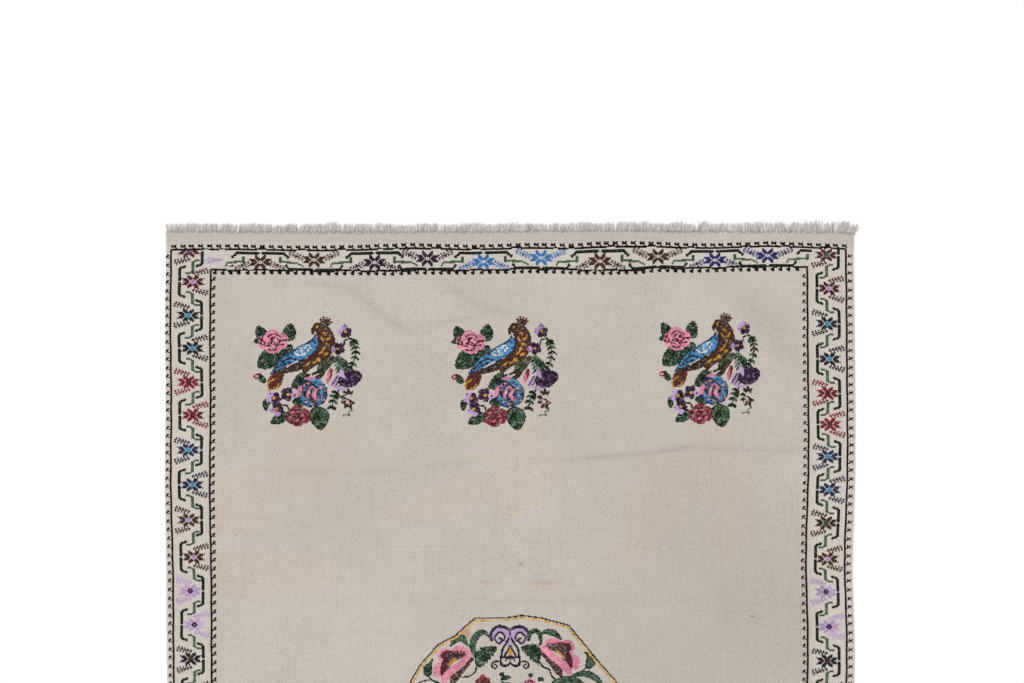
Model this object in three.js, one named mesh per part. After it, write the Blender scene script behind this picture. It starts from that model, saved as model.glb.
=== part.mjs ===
// A flat-woven wool kilim laid flat on the floor, with a short cut fringe at its head and foot ends.
// Millimetres, +Z up. The width runs along X and the length along Y, with the head end at +Y,
// and the middle of the rug's box lies over the origin.
import * as THREE from 'three';

const CLOTH_WIDTH = 2000;
const CLOTH_LENGTH = 2890;
const CLOTH_THICKNESS = 2.5;

// The fringe is the warp's cut ends: locks of twisted yarn that stand on a narrow heading strip.
const FRINGE_THICKNESS = 2;
const HEADING_WIDTH = 6;
const HEADING_GAP = 0.3;
const FRINGE_LENGTH = 24;
const LOCKS_PER_END = 148;
const LOCK_ROOT_SHARE = 0.82;
const LOCK_TIP_SHARE = 0.56;

// How far each side edge bulges past its straight line, by the distance down from the head end.
const SIDE_EDGES = [
  { down: 0, left: -1.5, right: -2 },
  { down: 240, left: 1.5, right: 1 },
  { down: 480, left: 1, right: 3.5 },
  { down: 720, left: 3, right: 3 },
  { down: 960, left: -1, right: -4 },
  { down: 1200, left: -2.5, right: 1.5 },
  { down: 1445, left: -4.5, right: -1 },
  { down: 1690, left: 1, right: -2 },
  { down: 1930, left: -3, right: -1 },
  { down: 2170, left: 2, right: 2.5 },
  { down: 2410, left: 3, right: 1 },
  { down: 2650, left: 1, right: 1.5 },
  { down: 2890, left: -2, right: -1.5 },
];

// How far each end edge bulges past its straight line, by the place across the width. Each column is
// read with its own end uppermost, so the foot's is read with the rug turned half round.
const END_EDGES = [
  { across: -1000, head: 1, foot: -4 },
  { across: -930, head: 2, foot: 0 },
  { across: -700, head: -1, foot: 2 },
  { across: -350, head: 0, foot: -1 },
  { across: 0, head: 1.5, foot: 2.5 },
  { across: 250, head: 4, foot: 1 },
  { across: 600, head: 1, foot: -1.5 },
  { across: 930, head: -1, foot: 1 },
  { across: 1000, head: -7, foot: -1 },
];

// Each end's fringe. The locks are ragged, and the outermost ones lean out past the corner, by a
// sideways run for each millimetre of their length.
const FRINGES = [
  { name: 'fringe_head', end: 'head', turn: 0, ragged: 4.5, leftLean: 0, rightLean: 0.75, seed: 3 },
  { name: 'fringe_foot', end: 'foot', turn: Math.PI, ragged: 4, leftLean: 0.1, rightLean: 0.6, seed: 11 },
];

// The locks lean in tufts that part and meet again along the edge: how much, and how far apart.
const BROAD_TUFTS = { lean: 0.16, spacing: 47 };
const SMALL_TUFTS = { lean: 0.1, spacing: 21 };
const RAGGED_SPACING = 83;
const TIP_SLANT = 1.5;

const SIDE_STEPS = 48;
const END_STEPS = 32;
const EDGE_READING_STEPS = 200;
const CORNER_SPREAD = 70;

const wool = new THREE.MeshStandardMaterial({ color: 0xc8beb4, roughness: 0.95, metalness: 0 });
const warpYarn = new THREE.MeshStandardMaterial({ color: 0xc6c0bb, roughness: 0.95, metalness: 0 });

// A number between -1 and 1 that looks random but is the same at every build.
function scatter(index, seed) {
  const wave = Math.sin(index * 127.1 + seed * 311.7) * 43758.5453;
  return 2 * (wave - Math.floor(wave)) - 1;
}

// A smooth curve through one column of the end table, as points from left to right.
function endEdgeCurve(column) {
  const points = END_EDGES.map((row) => new THREE.Vector2(row.across, CLOTH_LENGTH / 2 + row[column]));
  return new THREE.SplineCurve(points);
}

// A smooth curve down one side of the cloth, from the head corner to the foot corner, as points.
function sideEdgePoints(column, outward) {
  const points = SIDE_EDGES.map((row) => new THREE.Vector2(
    outward * (CLOTH_WIDTH / 2 + row[column]),
    CLOTH_LENGTH / 2 - row.down,
  ));
  return new THREE.SplineCurve(points).getPoints(SIDE_STEPS);
}

// The cloth's outline, round from the head's left corner: head edge, right side, foot edge, left side.
// The end edges reach the corners, and the side edges fill in between them.
function clothOutline() {
  const headEdge = endEdgeCurve('head').getPoints(END_STEPS);
  const footEdge = endEdgeCurve('foot').getPoints(END_STEPS)
    .map((point) => new THREE.Vector2(-point.x, -point.y));
  const rightSide = sideEdgePoints('right', 1).slice(1, -1);
  const leftSide = sideEdgePoints('left', -1).slice(1, -1).reverse();
  return [...headEdge, ...rightSide, ...footEdge, ...leftSide];
}

// A flat sheet with the given outline, lying on the floor.
function flatSheet(outline, thickness) {
  const shape = new THREE.Shape(outline);
  return new THREE.ExtrudeGeometry(shape, { depth: thickness, bevelEnabled: false, steps: 1 });
}

// The height of an end edge at a place across the width, read from its smooth curve.
function edgeReader(column) {
  const points = endEdgeCurve(column).getPoints(EDGE_READING_STEPS);
  return (across) => {
    const next = Math.max(1, points.findIndex((point) => point.x >= across));
    const before = points[next - 1];
    const after = points[next];
    const share = (across - before.x) / (after.x - before.x);
    return before.y + share * (after.y - before.y);
  };
}

// The lean of the locks, as sideways run for each millimetre of length: tufts that part and meet,
// and a fan at both corners.
function lockLean(across, fringe) {
  const broad = BROAD_TUFTS.lean * Math.sin(across / BROAD_TUFTS.spacing + fringe.seed);
  const small = SMALL_TUFTS.lean * Math.sin(across / SMALL_TUFTS.spacing + 2 * fringe.seed);
  const fromLeft = across + CLOTH_WIDTH / 2;
  const fromRight = CLOTH_WIDTH / 2 - across;
  const leftFan = fringe.leftLean * Math.exp(-fromLeft / CORNER_SPREAD);
  const rightFan = fringe.rightLean * Math.exp(-fromRight / CORNER_SPREAD);
  const calm = 1 - Math.exp(-Math.min(fromLeft, fromRight) / CORNER_SPREAD);
  return (broad + small) * calm - leftFan + rightFan;
}

// One lock's four outline points, from left to right: root, tip, tip, root.
function lockPoints(index, pitch, fringe, edgeAt) {
  const middle = -CLOTH_WIDTH / 2 + pitch * (index + 0.5);
  const rootHalf = 0.5 * pitch * LOCK_ROOT_SHARE;
  const tipHalf = 0.5 * pitch * LOCK_TIP_SHARE;
  const root = edgeAt(middle) + HEADING_GAP + HEADING_WIDTH;
  const ragged = 0.5 * Math.sin(middle / RAGGED_SPACING + fringe.seed) + 0.5 * scatter(index, fringe.seed);
  const length = FRINGE_LENGTH - HEADING_WIDTH + fringe.ragged * ragged;
  const tipMiddle = middle + lockLean(middle, fringe) * length;
  const slant = TIP_SLANT * scatter(index, 2 * fringe.seed);
  return [
    new THREE.Vector2(middle - rootHalf, root),
    new THREE.Vector2(tipMiddle - tipHalf, root + length + slant),
    new THREE.Vector2(tipMiddle + tipHalf, root + length - slant),
    new THREE.Vector2(middle + rootHalf, root),
  ];
}

// One end's fringe as a comb: the locks' outline along the far side, the heading's edge back.
function fringeOutline(fringe) {
  const edgeAt = edgeReader(fringe.end);
  const pitch = CLOTH_WIDTH / LOCKS_PER_END;
  const locks = [];
  for (let index = 0; index < LOCKS_PER_END; index += 1) {
    locks.push(...lockPoints(index, pitch, fringe, edgeAt));
  }
  const headingEdge = endEdgeCurve(fringe.end).getPoints(END_STEPS)
    .map((point) => new THREE.Vector2(point.x, point.y + HEADING_GAP))
    .reverse();
  return [...locks, ...headingEdge];
}

const kilim = new THREE.Group();

const cloth = new THREE.Mesh(flatSheet(clothOutline(), CLOTH_THICKNESS), wool);
cloth.name = 'cloth';
kilim.add(cloth);

for (const fringe of FRINGES) {
  const comb = new THREE.Mesh(flatSheet(fringeOutline(fringe), FRINGE_THICKNESS), warpYarn);
  comb.name = fringe.name;
  comb.rotation.z = fringe.turn;
  kilim.add(comb);
}

const box = new THREE.Box3().setFromObject(kilim);
const middle = box.getCenter(new THREE.Vector3());
kilim.position.set(-middle.x, -middle.y, 0);

export default kilim;
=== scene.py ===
"""A flat-woven ivory kilim, laid flat: needlework borders, posies and a medallion, and a fringe at both ends.

Metres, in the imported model's frame: +X across the width, +Y along the length towards the head end, +Z up.
The needlework is worked out on a chart that has one cell for each cross-stitch. Each motif draws its own
small chart, the motifs are set on the rug's chart, and each cell becomes one stitch of its thread.
"""

import bpy
import numpy as np
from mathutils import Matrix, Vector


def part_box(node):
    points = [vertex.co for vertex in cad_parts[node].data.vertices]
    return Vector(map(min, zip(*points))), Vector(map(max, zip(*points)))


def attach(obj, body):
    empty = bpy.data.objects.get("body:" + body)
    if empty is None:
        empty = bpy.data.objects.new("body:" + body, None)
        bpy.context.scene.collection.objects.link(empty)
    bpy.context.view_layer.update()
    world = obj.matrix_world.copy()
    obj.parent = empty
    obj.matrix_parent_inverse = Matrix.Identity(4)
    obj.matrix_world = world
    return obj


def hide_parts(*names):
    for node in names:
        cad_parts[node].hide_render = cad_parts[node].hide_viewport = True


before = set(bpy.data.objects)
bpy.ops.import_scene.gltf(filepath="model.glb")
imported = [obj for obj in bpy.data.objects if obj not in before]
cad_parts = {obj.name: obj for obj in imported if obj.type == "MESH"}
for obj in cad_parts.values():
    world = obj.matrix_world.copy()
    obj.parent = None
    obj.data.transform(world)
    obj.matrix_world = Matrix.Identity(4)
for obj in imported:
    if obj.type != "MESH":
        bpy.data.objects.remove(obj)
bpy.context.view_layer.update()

# SIZES

CLOTH_WIDE = 2.000
CLOTH_LONG = 2.890
CLOTH_LOW, CLOTH_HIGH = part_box("cloth")
CLOTH_MIDDLE_X = 0.5 * (CLOTH_LOW.x + CLOTH_HIGH.x)
CLOTH_MIDDLE_Y = 0.5 * (CLOTH_LOW.y + CLOTH_HIGH.y)
CLOTH_TOP = CLOTH_HIGH.z

# One cross-stitch of the needlework, how far it stands above the cloth, and how far its corners sink in.
STITCH = 0.0029
STITCH_RISE = 0.0007
STITCH_SUNK = 0.00002

# The photograph looks straight down on the rug's head half: where the middle of the view lies from the
# cloth's middle, and how wide the view is on the floor.
VIEW_ACROSS = 0.0055
VIEW_UP = 1.125
VIEW_WIDE = 2.977
LENS = 85
SENSOR = 36

# The studio: its floor, its even daylight, and one broad, distant lamp.
FLOOR_SIZE = 30
FLOOR_BELOW = 0.0003
SKY_STRENGTH = 0.74
SUN_PLACE = (-3.0, 7.5, 5.4)
SUN_STRENGTH = 1.65
SUN_ANGLE = 0.35

# Wool threads of the needlework, as sRGB hex, in the order of their numbers on the charts.
THREADS = {
    "black": "0f0c0b",
    "bottle": "14231b",
    "moss": "3c5944",
    "sage": "637c67",
    "umber": "432b20",
    "chestnut": "5f3324",
    "wine": "4f2029",
    "crimson": "7e2631",
    "brick": "a04a49",
    "rose": "cf7f97",
    "blush": "dc9fb0",
    "sky": "5591b4",
    "cornflower": "3a6fa8",
    "indigo": "23275f",
    "navy": "252b4a",
    "slate": "20222b",
    "violet": "2c1a33",
    "mauve": "6d5572",
    "lilac": "b699c2",
    "amber": "c08c35",
    "straw": "d8b56c",
    "chalk": "d9cfc2",
    "ash": "7a7068",
}
NUMBER = {name: index + 1 for index, name in enumerate(THREADS)}


class Chart:
    """A stitch chart: thread numbers on a grid, with each stitch's place counted from the middle."""

    def __init__(self, wide, high):
        """An empty chart of so many stitches across and up."""
        self.cells = np.zeros((high, wide), dtype=np.int16)
        across = np.arange(wide) - (wide - 1) / 2
        up = np.arange(high) - (high - 1) / 2
        self.x, self.y = np.meshgrid(across, up)

    def fill(self, mask, thread):
        """Stitch all of the mask's cells in one thread."""
        self.cells[mask] = NUMBER[thread]

    def draw(self, thread, form, *sizes):
        """Stitch a form in one thread. A form is a function of the chart and its own places and sizes."""
        self.fill(form(self, *sizes), thread)

    def dapple(self, mask, thread, share, seed):
        """Stitch a share of the mask's cells in another thread, as dashes of two stitches scattered from a
        fixed seed."""
        high, wide = self.cells.shape
        chance = np.random.default_rng(seed).random((high, wide // 2 + 1))
        starts = np.arange(high) % 2
        pair = (np.arange(wide)[None, :] + starts[:, None]) // 2
        self.fill(mask & (np.take_along_axis(chance, pair, axis=1) < share), thread)


def smooth(points, steps=10):
    """A Catmull-Rom curve through the points: on each span a cubic whose ends lean along their neighbours."""
    knots = np.array(points, dtype=float)
    knots = np.vstack([2 * knots[0] - knots[1], knots, 2 * knots[-1] - knots[-2]])
    share = np.linspace(0, 1, steps, endpoint=False)[:, None]
    spans = []
    for a, b, c, d in zip(knots[:-3], knots[1:-2], knots[2:-1], knots[3:]):
        spans.append(b + 0.5 * share * (c - a + share * (2 * a - 5 * b + 4 * c - d
                                                         + share * (3 * (b - c) + d - a))))
    return np.vstack(spans + [knots[-2:-1]])


def disc(chart, centre, radii, turn=0.0):
    """The cells inside an ellipse: the squares of the turned offsets over the radii add up to one or less."""
    angle = np.radians(turn)
    dx = chart.x - centre[0]
    dy = chart.y - centre[1]
    along = dx * np.cos(angle) + dy * np.sin(angle)
    aside = dy * np.cos(angle) - dx * np.sin(angle)
    return (along / radii[0]) ** 2 + (aside / radii[1]) ** 2 <= 1.0


def stroke(chart, points, wide):
    """The cells within half a width of a smooth path."""
    path = smooth(points)
    gap = np.hypot(chart.x[..., None] - path[:, 0], chart.y[..., None] - path[:, 1])
    return gap.min(axis=2) <= wide / 2


def runs(chart, points, wide):
    """The cells within half a width of straight runs from point to point."""
    mask = np.zeros(chart.cells.shape, dtype=bool)
    for start, stop in zip(points[:-1], points[1:]):
        span = np.subtract(stop, start)
        share = ((chart.x - start[0]) * span[0] + (chart.y - start[1]) * span[1]) / (span @ span)
        share = np.clip(share, 0, 1)
        gap = np.hypot(chart.x - start[0] - share * span[0], chart.y - start[1] - share * span[1])
        mask |= gap <= wide / 2
    return mask


def limb(chart, points, widths):
    """The cells within half of the local width of a smooth path, with one width for each point."""
    path = smooth(np.column_stack([np.array(points, dtype=float), widths]))
    gap = np.hypot(chart.x[..., None] - path[:, 0], chart.y[..., None] - path[:, 1])
    return (gap - path[:, 2] / 2).min(axis=2) <= 0.0


def inside(chart, points):
    """The cells inside a closed outline: those whose ray to the right crosses its sides an odd number of
    times."""
    ring = np.array(points, dtype=float)
    nxt = np.roll(ring, -1, axis=0)
    x = chart.x[..., None]
    y = chart.y[..., None]
    spans = (ring[:, 1] > y) != (nxt[:, 1] > y)
    rise = np.where(nxt[:, 1] == ring[:, 1], 1e-9, nxt[:, 1] - ring[:, 1])
    cross = ring[:, 0] + (y - ring[:, 1]) * (nxt[:, 0] - ring[:, 0]) / rise
    return np.count_nonzero(spans & (x < cross), axis=2) % 2 == 1


def rim(mask):
    """The cells of a shape that touch its outside on one of their four sides."""
    padded = np.pad(mask, 1)
    core = padded[:-2, 1:-1] & padded[2:, 1:-1] & padded[1:-1, :-2] & padded[1:-1, 2:]
    return mask & ~core


def sew(rug, motif, place, turned=False, mirrored=False, within=np.inf):
    """Put a motif's stitches on the rug's chart around a place given in stitches from the middle. Only
    rows that lie within the stated number of stitches of the middle are sewn."""
    cells = motif.cells
    if turned:
        cells = cells[::-1, ::-1]
    if mirrored:
        cells = cells[:, ::-1]
    high, wide = cells.shape
    rug_high, rug_wide = rug.cells.shape
    left = int(round(place[0] + (rug_wide - wide) / 2))
    low = int(round(place[1] + (rug_high - high) / 2))
    column = np.arange(left, left + wide)
    row = np.arange(low, low + high)
    row_fits = (row >= 0) & (row < rug_high) & (np.abs(row - (rug_high - 1) / 2) <= within)
    column_fits = (column >= 0) & (column < rug_wide)
    part = cells[np.ix_(row_fits, column_fits)]
    window = np.ix_(row[row_fits], column[column_fits])
    rug.cells[window] = np.where(part > 0, part, rug.cells[window])


# LEAVES AND FLOWERS

LEAF_GREENS = ("bottle", "moss", "sage")


def leaf(chart, base, tip, wide, bend=0.0, greens=LEAF_GREENS, veins=2, seed=1, jags=0):
    """A leaf: half its width follows the sine of the way from base to tip, cut into by its jags, with a
    dark rim and midrib, a darker side, and veins that run out from the midrib at a slant."""
    dark, middle, light = greens
    base = np.array(base, dtype=float)
    tip = np.array(tip, dtype=float)
    long = np.hypot(*(tip - base))
    along_way = (tip - base) / long
    side_way = np.array([-along_way[1], along_way[0]])
    along = ((chart.x - base[0]) * along_way[0] + (chart.y - base[1]) * along_way[1]) / long
    bow = bend * np.sin(np.pi * np.clip(along, 0, 1))
    aside = (chart.x - base[0]) * side_way[0] + (chart.y - base[1]) * side_way[1] - bow
    fat = 0.5 * wide * np.sin(np.pi * np.clip(along, 0, 1) ** 0.8) ** 0.6
    fat = fat * (1 - 0.3 * (along * jags % 1))
    blade = (along >= 0) & (along <= 1) & (np.abs(aside) <= fat)
    chart.fill(blade, middle)
    chart.dapple(blade, dark, 0.42, seed)
    chart.dapple(blade & (aside < 0), dark, 0.5, seed + 1)
    stripe = np.sin(2 * np.pi * (along * veins - np.abs(aside) / wide))
    chart.dapple(blade & (stripe > 0.6), light, 0.5, seed + 2)
    chart.dapple(rim(blade), dark, 0.8, seed + 3)
    chart.dapple(blade & (np.abs(aside) < 0.55) & (along < 0.9), dark, 0.8, seed + 4)
    return blade


def petal_disc(chart, centre, radius, petals, notch, turn):
    """The cells inside a scalloped ring: the radius dips by the notch between its petals."""
    angle = np.arctan2(chart.y - centre[1], chart.x - centre[0])
    away = np.hypot(chart.x - centre[0], chart.y - centre[1])
    edge = radius * (1 - notch + notch * np.abs(np.cos(petals * (angle - np.radians(turn)) / 2)))
    return away <= edge


def petal_arc(chart, centre, radius, start, stop, wide, thread):
    """A curved petal edge: part of a ring between two angles, in degrees from the right."""
    angle = np.radians(np.linspace(start, stop, 5))
    path = np.column_stack([centre[0] + radius * np.cos(angle), centre[1] + radius * np.sin(angle)])
    chart.draw(thread, stroke, path, wide)


# The curled petal edges of a cabbage rose: paths in shares of its radius from its middle.
ROSE_EDGES = (
    ((-0.36, 0.42), (-0.18, 0.60), (0.12, 0.64), (0.46, 0.40)),
    ((-0.68, 0.50), (-0.72, 0.16), (-0.52, -0.10), (-0.70, -0.24)),
    ((-0.98, -0.12), (-0.62, -0.22), (-0.36, -0.36)),
    ((-0.34, -0.12), (-0.10, 0.00), (0.14, -0.10)),
    ((-0.34, -0.40), (-0.04, -0.28), (0.16, -0.30)),
    ((0.18, -0.28), (0.42, -0.04), (0.68, 0.14)),
    ((0.24, -0.32), (0.46, -0.30), (0.66, -0.24)),
    ((0.18, -0.32), (0.22, -0.50), (0.18, -0.66)),
    ((-0.88, 0.30), (-0.80, 0.06), (-0.86, -0.10)),
    ((0.30, 0.16), (0.60, 0.06), (0.86, 0.10)),
    ((-0.30, -0.66), (-0.06, -0.74), (0.16, -0.66)),
)


def cabbage_rose(chart, centre, radius, petal, light, shade, squash=0.82, seed=1):
    """A full rose: six overlapping petals round a middle one, curled edges, and two dark hearts."""
    spread = 0.56 * radius
    bloom = disc(chart, centre, (0.74 * radius, 0.74 * radius * squash))
    for turn, size in ((98, 0.48), (28, 0.44), (-30, 0.42), (-92, 0.46), (-152, 0.44), (164, 0.42)):
        angle = np.radians(turn)
        place = (centre[0] + spread * np.cos(angle), centre[1] + spread * squash * np.sin(angle))
        bloom |= disc(chart, place, (size * radius, size * radius * squash))
    chart.fill(bloom, petal)
    chart.dapple(bloom, light, 0.25, seed)
    for edge in ROSE_EDGES:
        path = [(centre[0] + radius * x, centre[1] + radius * squash * y) for x, y in edge]
        chart.draw(shade, stroke, path, 1.5)
    upper_heart = disc(chart, (centre[0] + 0.03 * radius, centre[1] + 0.26 * radius * squash),
                       (0.30 * radius, 0.15 * radius), 8)
    lower_heart = disc(chart, (centre[0] - 0.12 * radius, centre[1] - 0.22 * radius * squash),
                       (0.22 * radius, 0.12 * radius), 15)
    chart.fill(upper_heart | lower_heart, shade)
    chart.dapple(upper_heart | lower_heart, light, 0.3, seed + 1)


def pansy(chart, centre, size, turn, pale):
    """A pansy: five round petals about its middle, of which those with the stated numbers are pale, a
    dark face and an amber heart."""
    for number in range(5):
        angle = np.radians(turn + 72 * number)
        wide = 0.60 if number in pale else 0.50
        place = (centre[0] + wide * size * np.cos(angle), centre[1] + wide * size * np.sin(angle))
        petal = disc(chart, place, (wide * size, 0.9 * wide * size), turn + 72 * number)
        chart.fill(petal, "lilac" if number in pale else "violet")
        chart.dapple(petal, "violet" if number in pale else "mauve", 0.12, 40 + number)
    chart.draw("violet", disc, centre, (0.42 * size, 0.40 * size), turn)
    angle = np.radians(turn)
    heart = (centre[0] + 0.1 * size * np.cos(angle), centre[1] + 0.1 * size * np.sin(angle))
    chart.draw("amber", disc, heart, (0.26 * size, 0.22 * size), turn)


def fern(chart, points, leaves, long, threads=("bottle", "bottle", "moss"), fat=2.6):
    """A fern: pairs of short slanted leaves along a smooth stem, in its threads by turns."""
    path = smooth(points)
    chart.draw(threads[0], stroke, points, 1.5)
    for index in range(leaves):
        share = (index + 0.6) / leaves
        here = path[int(share * (len(path) - 1))]
        ahead = path[min(int(share * (len(path) - 1)) + 2, len(path) - 1)]
        way = (ahead - here) / max(np.hypot(*(ahead - here)), 1e-6)
        for side in (-1, 1):
            out = np.array([-way[1], way[0]]) * side
            end = here + out * long + way * 0.7 * long
            thread = threads[(2 * index + (side > 0)) % len(threads)]
            chart.draw(thread, limb, [here, 0.5 * (here + end), end], [1.4, fat, 1.0])


def bud(chart, centre, radius, petal, light, way):
    """A rosebud: a small petal disc held by a green cup on the side away from its opening."""
    angle = np.radians(way)
    cup = (centre[0] - 0.8 * radius * np.cos(angle), centre[1] - 0.8 * radius * np.sin(angle))
    chart.draw("bottle", disc, cup, (radius, 0.9 * radius), way)
    chart.draw(petal, disc, centre, (radius, 0.85 * radius), way)
    chart.draw(light, disc, centre, (0.5 * radius, 0.5 * radius), way)


# BIRD

# The amber spots on the bird's breast: middle, radii and turn.
BREAST_SPOTS = (
    ((11.4, 46.3), (1.0, 1.8), -15),
    ((19.0, 40.0), (2.6, 0.9), -12),
    ((16.5, 34.5), (0.9, 2.5), 35),
    ((22.6, 34.2), (2.2, 1.1), 35),
    ((24.2, 36.6), (0.8, 1.6), 0),
    ((20.4, 29.4), (1.2, 1.5), 20),
    ((18.6, 24.6), (1.1, 2.6), -30),
    ((15.6, 20.8), (1.1, 2.6), -48),
    ((20.2, 19.0), (2.5, 1.5), 38),
    ((12.8, 13.4), (2.5, 1.9), -20),
    ((8.6, 10.8), (2.6, 0.9), 22),
    ((2.2, 9.2), (3.2, 1.0), 35),
)

# The pale marks on its wing.
WING_MARKS = (
    ((-4.1, 22.8), (1.5, 0.9), 20),
    ((2.4, 22.8), (1.3, 1.5), 0),
    ((4.6, 25.6), (0.8, 1.2), -20),
    ((-0.4, 25.6), (1.0, 0.8), 0),
)


def bird(chart):
    """A perched bird with a folded blue wing: limbs for its tail, belly, body, beak and wing, spots on its
    breast, feathers as strokes, and a crest of small knobs."""
    tail = [(-25, 2), (-28.5, -4), (-31.5, -9.5), (-35.5, -14.5)]
    chart.draw("chestnut", limb, tail, [8, 12.5, 13.5, 5])
    chart.dapple(limb(chart, tail, [7, 10, 10, 3]), "wine", 0.5, 5)
    chart.draw("umber", stroke, [(-27, 0), (-27, -5), (-26.5, -9)], 1.2)
    chart.draw("amber", stroke, [(-32.5, -6.5), (-38, -11), (-36.5, -17.5)], 1.5)
    chart.draw("amber", stroke, [(-32, -15), (-29, -14.5), (-27, -11)], 1.4)
    belly = [(4, 11.5), (-6, 8.0), (-14, 5.0), (-22, 2.5), (-28, 1.5)]
    chart.draw("umber", limb, belly, [8, 9.5, 8.5, 6, 4])
    chart.dapple(limb(chart, belly, [7, 8, 7.5, 5, 4]), "bottle", 0.4, 6)
    chart.dapple(limb(chart, belly, [5, 6, 5, 3, 2]), "ash", 0.1, 60)
    body = [(12.8, 45.5), (17, 42.5), (20.3, 35), (20.4, 26.5), (15.5, 18), (7, 12), (1, 7), (-1, 1)]
    chart.draw("umber", limb, body, [11, 14.5, 17, 16.5, 14, 11.5, 9, 4])
    chart.dapple(limb(chart, body, [7, 10.5, 13, 13, 10.5, 8, 6, 3]), "chestnut", 0.26, 7)
    chart.dapple(limb(chart, body, [9, 12.5, 15, 14.5, 12, 9.5, 7, 3]), "slate", 0.2, 66)
    chart.dapple(limb(chart, body, [7, 10.5, 13, 13, 10.5, 8, 6, 3]), "ash", 0.07, 67)
    chart.draw("umber", limb, [(10.5, 48.0), (8.2, 44.5), (6.9, 42), (7.3, 38.8)], [4, 4.4, 3.2, 1.4])
    chart.draw("wine", stroke, [(10.8, 50.2), (8.6, 48.4), (7.6, 45.5)], 1.5)
    chart.draw("wine", disc, (13.2, 36.6), (1.6, 3.4), 8)
    for centre, radii, turn in BREAST_SPOTS:
        chart.draw("amber", disc, centre, radii, turn)
    wing = [(9.3, 33), (5, 26), (-5, 20), (-17, 13.5), (-27, 6), (-34.5, -0.5)]
    blade = limb(chart, wing, [6.5, 12.5, 13.5, 11.5, 7.0, 2.0])
    chart.fill(blade, "sky")
    chart.dapple(blade, "cornflower", 0.30, 8)
    chart.dapple(blade, "indigo", 0.08, 68)
    chart.dapple(limb(chart, wing[3:], [7, 5, 1.5]), "navy", 0.3, 61)
    upper_edge = rim(blade) & (chart.y > 14.5 + 0.55 * chart.x)
    chart.fill(upper_edge | (rim(blade) & (chart.x < -13)), "navy")
    feathers = (
        ([(-29, 4.5), (-22, 11.5), (-15.5, 14.8), (-10, 13.2)], 1.7),
        ([(-25.5, 5.5), (-19, 10), (-14.5, 10.6)], 1.2),
        ([(-20, 16.0), (-14, 20.5), (-9, 22.5)], 1.2),
        ([(1, 28.5), (5.5, 32.5), (9.5, 37.5)], 1.6),
    )
    for path, wide in feathers:
        chart.draw("navy", stroke, path, wide)
    chart.draw("chalk", stroke, [(-11.3, 21.0), (-8.2, 18.6), (-3.3, 18.2), (0, 20.3)], 1.3)
    chart.draw("chalk", stroke, [(-19, 6.0), (-13, 9.2), (-8, 11.6)], 1.2)
    for centre, radii, turn in WING_MARKS:
        chart.draw("chalk", disc, centre, radii, turn)
    chart.dapple(disc(chart, (-2, 22.4), (9, 4.5), 28), "chalk", 0.2, 69)
    plume = disc(chart, (20.0, 51.0), (5.4, 3.4), -8)
    chart.fill(plume, "slate")
    chart.dapple(plume, "ash", 0.5, 9)
    chart.dapple(plume, "umber", 0.25, 62)
    knobs = (
        ((15.2, 54.0), "umber"),
        ((18.2, 56.0), "umber"),
        ((21.4, 55.4), "ash"),
        ((24.2, 54.0), "crimson"),
        ((26.0, 51.2), "crimson"),
    )
    for tip, thread in knobs:
        chart.draw("umber", stroke, [(19.5, 49.5), tip], 1.2)
        chart.draw(thread, disc, tip, (1.3, 1.1))
    claws = (((-2.5, 0), "slate"), ((-1, -2), "ash"), ((1.5, -2.5), "slate"), ((3.5, -1.5), "umber"))
    for claw, thread in claws:
        chart.draw(thread, disc, claw, (1.2, 0.8), 40)


# POSY

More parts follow.
